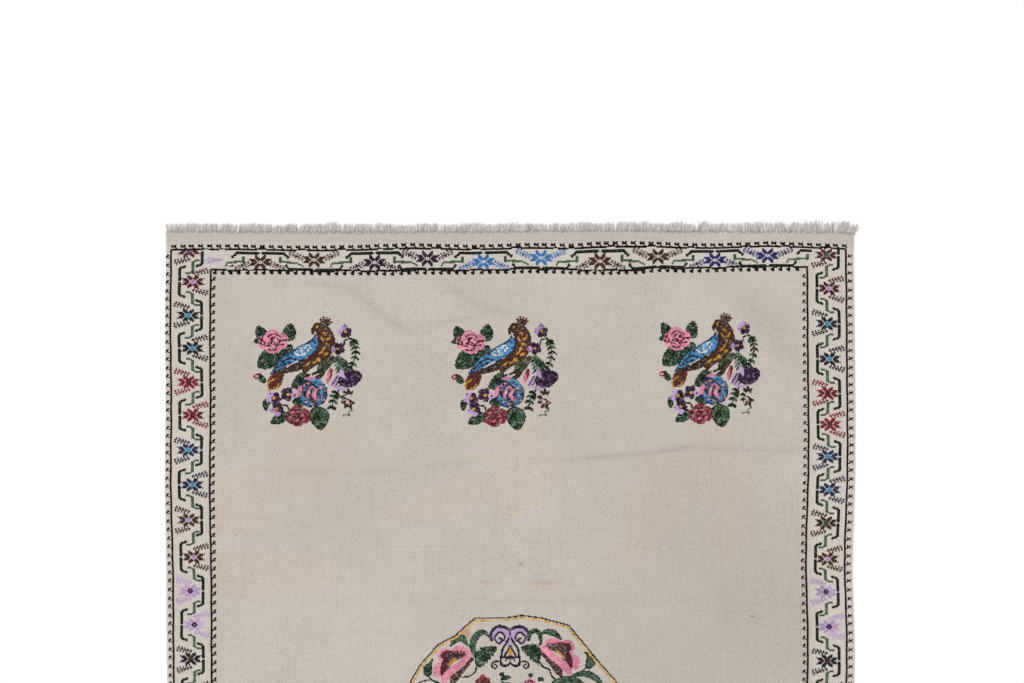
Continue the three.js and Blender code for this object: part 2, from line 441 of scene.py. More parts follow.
def blue_rose(chart, centre, radius):
    """The round rose at the posy's heart: a navy disc with blue and sky petals curled round it as parts
    of rings, pink and pale folds, scattered grey and pink stitches, and two amber dashes."""
    chart.fill(petal_disc(chart, centre, radius, 6, 0.08, 10), "navy")
    rings = (
        (0.86, 22, 108, 2.0, "sky"),
        (0.72, 5, 95, 1.6, "cornflower"),
        (0.58, -20, 80, 1.8, "sky"),
        (0.86, -65, -12, 1.9, "cornflower"),
        (0.70, -60, -8, 1.7, "sky"),
        (0.84, -150, -95, 1.8, "cornflower"),
        (0.66, -140, -85, 1.5, "sky"),
        (0.52, -120, -50, 1.5, "ash"),
        (0.70, 168, 214, 2.6, "sky"),
        (0.52, 120, 160, 1.6, "cornflower"),
        (0.99, -52, -8, 1.4, "wine"),
        (1.00, 84, 118, 2.2, "rose"),
    )
    for share, start, stop, wide, thread in rings:
        petal_arc(chart, centre, share * radius, start, stop, wide, thread)
    folds = (
        ([(-8.6, 7.0), (-12.0, 2.5), (-13.6, -2.5)], [3.0, 5.2, 4.2], "rose"),
        ([(1.8, 6.2), (-2.6, 3.4), (-4.8, -2.0), (-3.6, -5.4)], [2.0, 3.8, 3.6, 2.0], "rose"),
        ([(4.6, 3.2), (1.2, 0.0), (1.4, -4.0), (4.6, -7.6)], [2.2, 3.4, 3.2, 2.0], "rose"),
        ([(3.8, 1.2), (2.6, -2.2), (4.2, -5.0)], [1.2, 1.6, 1.2], "blush"),
        ([(-2.8, 1.6), (-3.4, -1.6)], [1.4, 1.4], "chalk"),
        ([(5.6, -4.6), (7.8, -6.0)], [2.2, 2.4], "mauve"),
    )
    for path, widths, thread in folds:
        placed = [(centre[0] + x, centre[1] + y) for x, y in path]
        chart.draw(thread, limb, placed, widths)
    bloom = disc(chart, (centre[0] + 1.5, centre[1]), (0.9 * radius, 0.9 * radius))
    chart.dapple(bloom, "navy", 0.12, 65)
    chart.dapple(bloom, "ash", 0.10, 71)
    chart.dapple(bloom, "blush", 0.05, 72)
    for path in ([(-9.4, 7.4), (-9.2, 2.6), (-10.6, -3.0)], [(0.6, 4.6), (-1.6, 0.2), (-0.8, -5.4)]):
        placed = [(centre[0] + x, centre[1] + y) for x, y in path]
        chart.draw("navy", stroke, placed, 1.2)
    for x, y, turn in ((-3.4, 9.0, 30), (0.2, -11.6, -8)):
        chart.draw("amber", disc, (centre[0] + x, centre[1] + y), (2.2, 0.9), turn)


def trumpet_flower(chart):
    """A dark trumpet flower that opens to the left, with a pale curled lip and dark lines on it."""
    lip = (
        ([(35.5, 1.5), (36.6, -2.5), (37.0, -6)], [4.0, 5.4, 4.0]),
        ([(31.5, -4.5), (28.6, -8.5), (27.6, -12.5)], [4.5, 6.2, 4.0]),
        ([(28.5, -13.8), (35.6, -15.8), (42.4, -13.6)], [2.6, 3.0, 2.4]),
    )
    flower = limb(chart, [(38, -7.5), (43.5, -6.2), (49.5, -3.8), (54.3, -3)], [12, 17, 13, 3])
    for path, widths in lip:
        chart.draw("lilac", limb, path, widths)
    chart.fill(flower, "violet")
    chart.dapple(flower, "mauve", 0.16, 29)
    chart.draw("lilac", limb, [(35.8, 2.0), (36.8, -2.0), (38.5, -4.5)], [3.2, 4.2, 2.0])
    for path in ([(31.6, -3.2), (29.2, -7.6), (26.0, -12)], [(34.6, -4.2), (32.4, -8.6), (30.0, -12.4)],
                 [(36.6, -6.5), (35.4, -10.5), (33.4, -13.5)]):
        chart.draw("violet", stroke, path, 1.4)


def posy(stretch):
    """One posy: a bird over roses, pansies, ferns and leaves, in stitches from the posy's middle. All of
    it is stretched across by the stated share."""
    chart = Chart(121, 131)
    chart.x = chart.x / stretch
    leaf(chart, (-38, 33), (-48.5, 47), 12.5, 1.0, seed=21)
    leaf(chart, (-42, 37), (-52, 31), 7, 1.5, seed=20)
    leaf(chart, (-17, 32), (-14.5, 49.5), 13.5, 0.5, seed=22)
    leaf(chart, (-30, 24), (-48, 5.5), 19, 2.0, seed=23)
    leaf(chart, (-14, 28), (-30, 11), 12, 1.5, seed=24)
    cabbage_rose(chart, (-32.3, 31.4), 15.4, "rose", "blush", "wine", 0.75, 3)
    leaf(chart, (-40, -9.5), (-47, -0.5), 7, 1.0, veins=1, seed=25)
    bud(chart, (-49.2, -3.5), 3.0, "crimson", "blush", 190)
    leaf(chart, (2, -1), (-14, -14.5), 15.5, 2.0, seed=26)
    bird(chart)
    leaf(chart, (12, 0), (29, 17), 10.5, 0.5, ("umber", "moss", "sage"), seed=27)
    chart.draw("bottle", stroke, [(7, -1), (12, 1.2), (17.5, 4)], 2.4)
    bough = [(10, -4.0), (14.5, -2.8), (18.5, 1.5)]
    chart.draw("umber", limb, bough, [2.0, 4.6, 3.0])
    chart.dapple(limb(chart, bough, [2.0, 4.6, 3.0]), "bottle", 0.35, 28)
    chart.draw("crimson", limb, [(25.5, 3), (23.8, -2.5), (21.8, -9.5)], [3.5, 4.8, 2.0])
    chart.draw("rose", limb, [(23.6, 0), (22.8, -4), (21.8, -9.5)], [1.2, 2.2, 1.8])
    chart.draw("bottle", stroke, [(38.5, 29), (38.6, 32.4), (42, 34), (46, 34.5)], 1.6)
    fern(chart, [(46, 34.5), (48, 29.5), (50, 20), (47, 8.5), (42.4, 1.5)], 8, 4.4)
    fern(chart, [(33, 18.5), (33, 11), (35, 2.5)], 5, 4.6, ("moss", "sage", "bottle"))
    leaf(chart, (36, 14), (41, 2), 7.5, 0.5, seed=36)
    pansy(chart, (39.9, 41.3), 6.6, 100, (0, 1))
    pansy(chart, (32.8, 24.6), 6.6, 190, (0,))
    trumpet_flower(chart)
    leaf(chart, (-1, -31), (-14, -28.5), 10, -1.0, seed=30)
    blue_rose(chart, (6.6, -19.4), 15.2)
    leaf(chart, (9, -34), (16, -57), 20, 1.5, seed=31)
    leaf(chart, (-18, -41), (-35, -50.5), 11, 0.0, seed=33)
    rose = (-7.8, -43.3)
    cabbage_rose(chart, rose, 13.2, "crimson", "brick", "wine", 0.78, 5)
    chart.dapple(disc(chart, rose, (12.5, 9.5)), "wine", 0.36, 63)
    chart.dapple(disc(chart, rose, (11.5, 8.5)), "ash", 0.14, 70)
    flecks = ((-5.5, 3.6, 25), (0.5, 4.4, -10), (4.5, 1.4, -50), (-7.6, -1.6, 60),
              (-1.0, -4.2, 8), (5.6, -3.4, 40))
    for x, y, turn in flecks:
        chart.draw("rose", disc, (rose[0] + x, rose[1] + y), (2.3, 0.65), turn)
    leaf(chart, (-38.4, -25.5), (-40, -38), 7, -1.0, seed=34)
    chart.draw("bottle", stroke, [(-23.7, -32), (-18.8, -33), (-17, -37)], 1.8)
    pansy(chart, (-18.2, -21.6), 7.4, -5, (0,))
    pansy(chart, (-31.6, -25.6), 7.0, 130, (0, 1))
    pansy(chart, (-28.8, -35.6), 6.6, 200, (0, 1))
    fern(chart, [(33, -17.5), (28.7, -24), (26, -36)], 4, 4.6, fat=3.2)
    curl = [(45.5, -22.5), (44, -18.8), (40, -19.7), (37.4, -25.5), (39, -31.5), (44.4, -34), (46.5, -29)]
    fern(chart, curl, 8, 2.5, ("umber", "bottle", "slate", "umber"), fat=2.8)
    chart.dapple(stroke(chart, curl, 1.8), "blush", 0.14, 64)
    chart.draw("wine", stroke, [(40.5, -26), (43, -26.5), (46, -28.5)], 1.6)
    tendril = [(45.8, -34.5), (46.4, -37.6), (42.6, -39.0), (44.2, -42.6), (39.8, -41.6), (36.9, -43)]
    chart.draw("moss", stroke, tendril, 1.2)
    return chart


# BORDER

# One quarter of each kind of eight-pointed star, from its middle to the right and up, top row first.
END_STAR_QUARTER = (
    "....xx......",
    "...xxx......",
    "..xxxx......",
    ".xxxxx......",
    "xxxxx.xxxxxx",
    "xxxx.xxxxxx.",
    "xxx.xxxxxx..",
    "xxxxxxxxx...",
)
SIDE_STAR_QUARTER = (
    "....xx......",
    "..xxxx......",
    ".xxxxx......",
    "xxxxx.xxxxxx",
    "xxxx.xxxxx..",
    "xxx.xxxxxx..",
    "xxxxxxxx....",
)

# The small teeth on the border lines, top row first: those above the outer end lines and below the inner
# ones, those to the left of a side line, and those to the right of the two others.
END_TOOTH = (
    "xx.xx.",
    "xxxxx.",
    "xxxxx.",
    "....xx",
)
INNER_END_TOOTH = (
    "..xx",
    "xxxx",
    "xxxx",
    ".xxx",
)
LEFTWARD_TOOTH = (
    ".xx.",
    "xxx.",
    "xx..",
    "x.xx",
)
INNER_LEFT_TOOTH = (
    "..xx",
    ".xxx",
    ".xx.",
    "xxxx",
    "x...",
)
RIGHT_TOOTH = (
    ".x..x",
    ".xxxx",
    ".xxx.",
    "xx..x",
)


def charted(rows, thread):
    """A small chart from rows of marks, top row first: an x is a stitch of the thread."""
    motif = Chart(len(rows[0]), len(rows))
    motif.fill(np.array([list(row) for row in rows])[::-1] == "x", thread)
    return motif


def star(quarter, petals, heart=None):
    """An eight-pointed star: one charted quarter mirrored to both sides and down, with a coloured
    diamond at its heart, or a bare one with a dot."""
    upper = [row[:0:-1] + row for row in quarter]
    motif = charted(upper + upper[-2::-1], petals)
    reach = np.abs(motif.x) / 1.25 + np.abs(motif.y)
    if heart is None:
        motif.cells[reach <= 1.9] = 0
        motif.fill(reach < 0.5, petals)
    else:
        motif.fill(reach <= 2.9, heart)
        motif.fill(reach < 0.5, petals if heart != petals else "brick")
    return motif


def sprig(thread, run, rise):
    """A leafy branch from its lower left end: a thin straight stem with a slanted leaf of two stitches
    above it and another below it at every third stitch."""
    chart = Chart(int(run) + 7, int(rise) + 9)
    left = -run / 2
    low = -rise / 2
    slope = rise / run
    chart.draw(thread, runs, [(left, low), (-left, -low)], 1.1)
    for step in np.arange(1.0, run, 3.0):
        x = left + step
        y = low + slope * step
        chart.draw(thread, runs, [(x - 0.5, y + 1.3), (x + 0.2, y + 2.2)], 1.5)
        chart.draw(thread, runs, [(x + 0.9, y - 1.3), (x + 1.6, y - 2.2)], 1.5)
    return chart


def side_bar():
    """An upright bar with a slanted hook towards the right at both ends and a thin gap at its middle."""
    chart = Chart(23, 37)
    for side in (-1, 1):
        chart.fill(runs(chart, [(0, side), (0, side * 12.3)], 3.8) & (side * chart.y > 0.6), "bottle")
        hook = [(0.2, side * 12.5), (2.0, side * 14.6), (5.6, side * 15.2)]
        chart.draw("bottle", runs, hook, 2.3)
    return chart


def side_scroll():
    """A green S between two side stars: an upright with a slanted hook to the left above and to the
    right below."""
    chart = Chart(19, 19)
    upright = runs(chart, [(0, 4), (0, -4)], 2.9)
    hooks = runs(chart, [(-0.6, 4.5), (-2.6, 6.2), (-6.0, 6.6)], 1.9)
    hooks |= runs(chart, [(0.6, -4.5), (2.6, -6.2), (6.4, -6.6)], 1.9)
    chart.fill(upright | hooks, "moss")
    chart.dapple(upright, "sage", 0.25, 41)
    return chart


def end_scroll(run, bend):
    """A green S between two end stars: a level run that drops at its left and stands up at its right."""
    chart = Chart(31, 15)
    level = runs(chart, [(-run, -4.6), (-bend, -1.2), (9.6, -0.8)], 2.1)
    chart.fill(level, "moss")
    chart.dapple(level, "sage", 0.2, 42)
    chart.draw("moss", runs, [(9.8, -0.8), (10.2, 3.6)], 2.7)
    return chart


def end_bar(straight, hook_out, hook_drop):
    """A dark bar over an end star: level, with a gap at its middle and a hook that drops to a knob at
    both ends."""
    chart = Chart(2 * int(straight + hook_out) + 7, 2 * int(abs(hook_drop)) + 9)
    for side in (-1, 1):
        knob = (side * (straight + hook_out), hook_drop)
        chart.draw("bottle", runs, [(side * 2.2, 0), (side * straight, 0)], 2.7)
        chart.draw("bottle", runs, [(side * straight, 0), knob], 2.3)
        chart.draw("bottle", disc, knob, (1.6, 1.6))
    return chart


# Stars along the head border from left to right: the place across the rug, in millimetres, the
# thread, and whether the star's bar runs above it. The foot border is the same, turned half round.
END_STARS = (
    (-727, "umber", True),
    (-570, "umber", False),
    (-394, "violet", True),
    (-239, "violet", False),
    (-76, "cornflower", True),
    (90, "cornflower", False),
    (263, "umber", True),
    (430, "umber", False),
    (596, "indigo", True),
    (750, "indigo", False),
)
END_STAR_UP = 1361.5
STAR_STAGGER = 1.3
BAR_ABOVE = {"lift": 7.9, "straight": 23.3, "hook_out": 4.4, "hook_drop": -3.9}
BAR_BELOW = {"lift": -8.2, "straight": 25.0, "hook_out": 3.0, "hook_drop": 3.5}

# Stars down both side borders from the head: places up the rug on each side, in millimetres, the
# petals' thread and each side's heart. The bars stand right of the first star and then alternate.
SIDE_STARS = (
    (1389, 1371, "wine", "mauve", "moss"),
    (1299, 1272, "wine", "lilac", "lilac"),
    (1202, 1173, "slate", "sky", "sky"),
    (1106, 1071, "slate", "sky", "sky"),
    (1007, 972, "crimson", "wine", "wine"),
    (911, 882, "crimson", "wine", "wine"),
    (808, 788, "navy", "sky", "sky"),
    (709, 693, "navy", "sky", "sky"),
    (606, 596, "umber", "lilac", "moss"),
    (499, 494, "umber", "lilac", "lilac"),
    (401, 398, "lilac", "violet", "violet"),
    (302, 297, "lilac", "violet", "violet"),
    (202, 196, "slate", "umber", "umber"),
    (101, 98, "slate", "umber", "umber"),
    (1, -1, "crimson", "wine", "wine"),
)
SIDE_STAR_PITCH = 99.6

# The branches beside a star: their run and rise, and how far their middles stand to both sides of the
# star's middle and away from its bar, in stitches.
END_BRANCH = {"run": 14.5, "rise": 6.6, "beside": 17.6, "away": 4.4}
SIDE_BRANCH = {"run": 15, "rise": 4.5, "beside": 9.6, "away": 7.2}

# The head border's scrolls: the places of the first and the last, in millimetres, and, in stitches, how
# much nearer each stands to the star whose bar runs below it, how far below the middle, and how far left
# of its own middle each kind starts and bends.
OUTER_SCROLLS = (-796, 847)
SCROLL_NEARER = 3.5
SCROLL_LOWER = 0.4
FIRST_SCROLL = (7.5, 5.5)
RISING_SCROLL = (10.6, 8.6)
FALLING_SCROLL = (12.6, 6.0)

# The places across of the odd marks in the head border's corners, in millimetres.
SMUDGE_ACROSS = -864
DASH_ACROSS = -811
HOOK_ACROSS = 858

# Places of the border's lines and star rows from the rug's middle, in millimetres. With a star row goes
# the distance of its bars, in stitches.
LEFT_LINES = (-983, -870)
RIGHT_LINES = (864, 977.5)
END_LINES = (1394, 1334)
LEFT_ROWS = {"bar_right": (-931, 12.3), "bar_left": (-921, 13.3), "scroll": -922}
RIGHT_ROWS = {"bar_right": (921, 11.8), "bar_left": (926, 12.0), "scroll": 920}

# Half the width of an end line, and its two wavers, each with its height and the length in which its sine
# turns by one radian. All are in stitches.
END_LINE_HALF = 0.95
END_LINE_WAVERS = ((0.35, 7), (0.25, 3.1))

# The teeth on the end lines: their rows of marks, their line, where they start and stop across the rug
# and their pitch, in millimetres, and how far they stand outside the line, in stitches.
END_TEETH = (
    (END_TOOTH, END_LINES[0], LEFT_LINES[0] + 8, RIGHT_LINES[1] + 1, 25.66, 2.5),
    (INNER_END_TOOTH, END_LINES[1], LEFT_LINES[1] + 12, RIGHT_LINES[0] - 16, 23.5, -2.8),
)

# The teeth on the side lines: their rows of marks, their line, how far they stand to its right, or left
# where negative, in stitches, and how far the line reaches to both ends. They start and stop this far
# inside the reach.
SIDE_TEETH = (
    (LEFTWARD_TOOTH, LEFT_LINES[0], -3.2, END_LINES[0]),
    (INNER_LEFT_TOOTH, LEFT_LINES[1], 2.9, END_LINES[1]),
    (LEFTWARD_TOOTH, RIGHT_LINES[0], -3.0, END_LINES[1]),
    (RIGHT_TOOTH, RIGHT_LINES[1], 3.4, END_LINES[0]),
)
SIDE_TOOTH_PITCH = 24.8
SIDE_TOOTH_FIRST = 13
SIDE_TOOTH_LAST = 6


def stitches(millimetres):
    """A length in stitches."""
    return millimetres * 0.001 / STITCH


def flipped(motif):
    """A motif upside down."""
    copy = Chart(*motif.cells.shape[::-1])
    copy.cells = motif.cells[::-1]
    return copy


def head_border(rug):
    """The head border: each star with its bar on one side and two branches on the other, and a scroll
    in each gap, nearer to the star whose bar runs below it."""
    middle = stitches(END_STAR_UP)
    for across, thread, bar_above in END_STARS:
        place = stitches(across)
        branch = sprig(thread, END_BRANCH["run"], END_BRANCH["rise"])
        branch = branch if bar_above else flipped(branch)
        side = -1 if bar_above else 1
        level = middle + side * STAR_STAGGER
        for way in (-1, 1):
            spot = (place + way * END_BRANCH["beside"], level + side * END_BRANCH["away"])
            sew(rug, branch, spot, mirrored=way > 0)
        sew(rug, star(END_STAR_QUARTER, thread), (place, level))
        bar = BAR_ABOVE if bar_above else BAR_BELOW
        sew(rug, end_bar(bar["straight"], bar["hook_out"], bar["hook_drop"]), (place, middle + bar["lift"]))
    places = [row[0] for row in END_STARS]
    between = [0.5 * (a + b) for a, b in zip(places[:-1], places[1:])]
    kinds = [FIRST_SCROLL] + [FALLING_SCROLL, RISING_SCROLL] * len(END_STARS)
    for across, kind in zip([OUTER_SCROLLS[0], *between, OUTER_SCROLLS[1]], kinds):
        falls = kind is FALLING_SCROLL
        nearer = SCROLL_NEARER if falls else -SCROLL_NEARER
        sew(rug, end_scroll(*kind), (stitches(across) + nearer, middle - SCROLL_LOWER), mirrored=falls)
    corner_marks(rug, middle)


def corner_marks(rug, middle):
    """The odd marks in the head border's two corners: a lilac smudge, a dark dash and a short hook."""
    smudge = Chart(31, 11)
    patch = limb(smudge, [(-7, 0.0), (-2, 0.8), (2, 0.5), (9.5, 1.8)], [5, 6, 4, 1.0])
    smudge.dapple(patch, "lilac", 0.8, 43)
    sew(rug, smudge, (stitches(SMUDGE_ACROSS), middle))
    dash = Chart(7, 3)
    dash.draw("black", runs, [(-1.6, 0), (1.8, 0.4)], 1.4)
    sew(rug, dash, (stitches(DASH_ACROSS), middle - 5.0))
    hook = Chart(19, 11)
    hook.draw("bottle", runs, [(-6.8, -2.4), (-4.0, 1), (6.5, 1.0)], 2.3)
    hook.draw("bottle", disc, (-6.6, -2.2), (1.5, 1.5))
    sew(rug, hook, (stitches(HOOK_ACROSS), middle + 6.6))


def side_border(rug, rows, places, petals, hearts):
    """One side border: stars in a column, each with a bar on one side and two branches that run out on
    the other, and a scroll between each star and the next. The bars stand on alternate sides."""
    top = stitches(END_LINES[0]) - 0.6
    for index, up in enumerate(places):
        bar_right = index % 2 == 0
        across, bar_reach = rows["bar_right"] if bar_right else rows["bar_left"]
        place = (stitches(across), stitches(up))
        out = -1 if bar_right else 1
        branch = sprig(petals[index], SIDE_BRANCH["run"], SIDE_BRANCH["rise"])
        for side, leafy in ((1, branch), (-1, flipped(branch))):
            spot = (place[0] + out * SIDE_BRANCH["away"], place[1] + side * SIDE_BRANCH["beside"])
            sew(rug, leafy, spot, mirrored=bar_right, within=top)
        sew(rug, star(SIDE_STAR_QUARTER, petals[index], hearts[index]), place, within=top)
        sew(rug, side_bar(), (place[0] - out * bar_reach, place[1]), mirrored=bar_right, within=top)
    for index, (upper, lower) in enumerate(zip(places[:-1], places[1:])):
        place = (stitches(rows["scroll"]), stitches(0.5 * (upper + lower)))
        sew(rug, side_scroll(), place, mirrored=index % 2 == 0, within=top)


def full_column(places):
    """The places of the stars from head to foot: the stated ones, then even steps to the foot line."""
    column = list(places)
    while column[-1] - SIDE_STAR_PITCH > -END_LINES[0] - 12:
        column.append(column[-1] - SIDE_STAR_PITCH)
    return column


def full_threads(threads, count):
    """The threads of a whole column: down to the middle star, and back up again."""
    return (list(threads) + list(threads[-2::-1]) + list(threads))[:count]


def border_lines(rug):
    """The black border lines, two down each side and two across each end, each a band of stitches. Those
    across an end waver by the sum of two sine waves."""
    side_lines = ((LEFT_LINES[0], END_LINES[0]), (LEFT_LINES[1], END_LINES[1]),
                  (RIGHT_LINES[0], END_LINES[1]), (RIGHT_LINES[1], END_LINES[0]))
    for across, reach in side_lines:
        band = np.abs(rug.x - round(stitches(across))) < 1
        rug.fill(band & (np.abs(rug.y) <= stitches(reach)), "black")
    end_lines = ((END_LINES[0], LEFT_LINES[0], RIGHT_LINES[1]), (END_LINES[1], LEFT_LINES[1], RIGHT_LINES[0]))
    for up, left, right in end_lines:
        span = (rug.x >= stitches(left)) & (rug.x <= stitches(right))
        waver = sum(high * np.sin(rug.x / long) for high, long in END_LINE_WAVERS)
        for side in (-1, 1):
            gap = np.abs(rug.y - side * stitches(up) - waver)
            rug.fill(span & (gap <= END_LINE_HALF), "black")


def border_teeth(rug):
    """The teeth: a small charted mark at even steps along every line."""
    for rows, up, start, stop, pitch, beside in END_TEETH:
        tooth = charted(rows, "black")
        for end in (-1, 1):
            for across in np.arange(start, stop, pitch):
                sew(rug, tooth, (stitches(end * across), end * (stitches(up) + beside)), turned=end < 0)
    for rows, line, beside, reach in SIDE_TEETH:
        tooth = charted(rows, "black")
        for up in np.arange(-reach + SIDE_TOOTH_FIRST, reach - SIDE_TOOTH_LAST, SIDE_TOOTH_PITCH):
            sew(rug, tooth, (round(stitches(line)) + beside, stitches(up)))


def draw_borders(rug):
    """All four borders. The head border is drawn first, and the foot border is its half-turned copy."""
    head_border(rug)
    foot_half = rug.cells.shape[0] // 2
    rug.cells[:foot_half] = rug.cells[::-1, ::-1][:foot_half]
    petals = [row[2] for row in SIDE_STARS]
    for side, rows in ((0, LEFT_ROWS), (1, RIGHT_ROWS)):
        places = full_column([row[side] for row in SIDE_STARS])
        hearts = full_threads([row[3 + side] for row in SIDE_STARS], len(places))
        side_border(rug, rows, places, full_threads(petals, len(places)), hearts)
    border_teeth(rug)
    border_lines(rug)


# MEDALLION

# The medallion is a many-sided ring: the angle of each corner, in degrees from the right,
# and its distance from the middle in stitches. The lower half is the same, turned half round.
MEDALLION_CORNERS = np.array((
    (172.4, 114.0), (156.2, 113.3), (146.0, 113.6), (131.5, 113.0), (122.0, 110.2), (108.8, 117.0),
    (92.5, 111.3), (85.2, 114.0), (74.3, 114.5), (61.5, 117.5), (47.6, 109.8), (38.0, 108.5),
    (23.7, 113.7), (7.1, 112.9),
))

# The widths of the black and amber runs, in stitches, and the amber one's share of the ring's size.
OUTLINE_WIDE = 1.35
GOLD_WIDE = 1.7
GOLD_INSIDE = 0.981


def medallion_edge(chart):
    """The medallion's double outline: a black run from corner to corner, and an amber run just inside."""
    turns = np.radians(np.concatenate([MEDALLION_CORNERS[:, 0], MEDALLION_CORNERS[:, 0] - 180]))
    radii = np.tile(MEDALLION_CORNERS[:, 1], 2)
    corners = np.column_stack([radii * np.cos(turns), radii * np.sin(turns)])
    ring = np.vstack([corners, corners[:1]])
    gold = runs(chart, ring * GOLD_INSIDE, GOLD_WIDE)
    chart.fill(gold, "amber")
    chart.dapple(gold, "straw", 0.65, 51)
    chart.draw("black", runs, ring, OUTLINE_WIDE)


def volute(chart, side):
    """One half of the double volute: a dark outline that curls in on itself round a lilac band."""
    def flip(points):
        """The points on the volute's own side of the middle."""
        return [(side * x, y) for x, y in points]

    band = flip([(2.5, 84), (3, 92), (7, 98.5), (12.5, 99.5), (16.5, 94), (17, 89)])
    chart.draw("lilac", limb, band, [3.5, 4.5, 5.0, 5.0, 4.5, 2.5])
    top = stroke(chart, flip([(0.5, 99), (5, 101.5), (11, 102.5), (16.5, 99.5), (19.5, 94), (18.5, 89)]), 3.2)
    chart.fill(top, "violet")
    chart.dapple(top, "slate", 0.3, 85)
    chart.dapple(top, "mauve", 0.2, 87)
    curl = flip([(6.5, 88), (5.5, 92.5), (8, 96), (12, 96), (15, 92.5), (14.5, 88), (11.5, 85.5),
                 (8.8, 87), (9, 90.5), (11.5, 91)])
    chart.draw("violet", stroke, curl, 1.9)
    chart.draw("lilac", disc, (side * 11.5, 88), (1.3, 1.5))
    flank = flip([(1.5, 90), (4.5, 85), (7.5, 80), (9, 72), (9.5, 66), (7, 63), (3, 63.5), (0, 66)])
    chart.draw("violet", stroke, flank, 2.5)
    foot = flip([(8.5, 66), (13, 67.5), (17.5, 66.5), (18.5, 62.5), (15, 60.5), (13.5, 63), (15.5, 64.5)])
    chart.draw("violet", stroke, foot, 1.6)
    chart.draw("slate", stroke, flip([(0, 66), (0.5, 70), (3.5, 70.5), (4.5, 68)]), 1.5)


# How far left of the medallion's middle its crest stands, in stitches.
CREST_LEFT = 3


def scroll_crest(chart):
    """The crest at the medallion's head: two volutes back to back over a small triangle with an amber
    drop. It stands a few stitches left of the middle."""
    crest = Chart(*chart.cells.shape[::-1])
    for side in (-1, 1):
        volute(crest, side)
    crest.draw("mauve", inside, [(-2.5, 101), (2.5, 101), (1.2, 94), (0, 91), (-1.2, 94)])
    crest.draw("slate", runs, [(0, 83), (-6.5, 71.5), (6.5, 71.5), (0, 83)], 1.9)
    crest.draw("amber", disc, (0, 77), (2.0, 3.2))
    crest.draw("slate", stroke, [(-5, 71), (0, 73), (5, 71)], 1.2)
    shifted = np.roll(crest.cells, -CREST_LEFT, axis=1)
    chart.cells[shifted > 0] = shifted[shifted > 0]


def poppy(chart, centre, side, seed):
    """A poppy seen from the side: three rounded pink petals behind a dark cup with an amber bar, a
    pink petal rolled across its front, and that petal's dark underside."""
    def at(dx, dy):
        """A place counted from the poppy's centre, mirrored with its side."""
        return (centre[0] + side * dx, centre[1] + dy)

    back = disc(chart, at(8, 8.5), (9.5, 6.0), side * -12)
    back |= disc(chart, at(-7.5, 5), (7.5, 7.5)) | disc(chart, at(-14.5, -9.5), (5.2, 7.8), side * -12)
    chart.fill(back, "rose")
    chart.dapple(back, "blush", 0.3, seed)
    cup = limb(chart, [at(-9, 4.5), at(-2, 4), at(6, 5), at(15, 6)], [6, 10, 7, 2])
    cup |= limb(chart, [at(-4, 1), at(-7.5, -6), at(-10.5, -15)], [9, 9, 3])
    chart.fill(cup, "wine")
    shadow = cup & (side * (chart.x - centre[0]) > -7)
    chart.dapple(shadow, "umber", 0.5, seed + 1)
    chart.dapple(shadow, "ash", 0.32, seed + 2)
    chart.draw("crimson", stroke, [at(-10, 8.5), at(0, 9.5), at(13, 8.5)], 1.5)
    under = limb(chart, [at(20, 1.5), at(12.5, -4.5), at(6, -11), at(1.5, -18), at(-1, -23)], [3, 7, 9, 8, 3])
    chart.fill(under, "wine")
    chart.dapple(under, "umber", 0.38, seed + 3)
    chart.dapple(under, "ash", 0.22, seed + 4)
    front_path = [at(19, 6), at(15, 3), at(7, -4.5), at(-2, -11), at(-8, -18), at(-10, -22)]
    front = limb(chart, front_path, [3, 6, 7, 7.5, 7, 3])
    chart.fill(front, "rose")
    chart.dapple(front, "blush", 0.3, seed + 5)
    chart.draw("amber", runs, [at(-3, -4), at(2.5, 1.5)], 2.4)


def vine(chart, points, wide=1.7):
    """A thin dark green stem along a smooth path."""
    chart.draw("bottle", stroke, points, wide)


def leaf_arch(chart, points, widths, seed):
    """A long leaf bent along a path, with a dark rim and darker stitches scattered along it."""
    blade = limb(chart, points, widths)
    chart.fill(blade, "moss")
    chart.dapple(blade, "sage", 0.25, seed)
    chart.dapple(blade, "bottle", 0.25, seed + 2)
    chart.dapple(rim(blade), "bottle", 0.7, seed + 1)


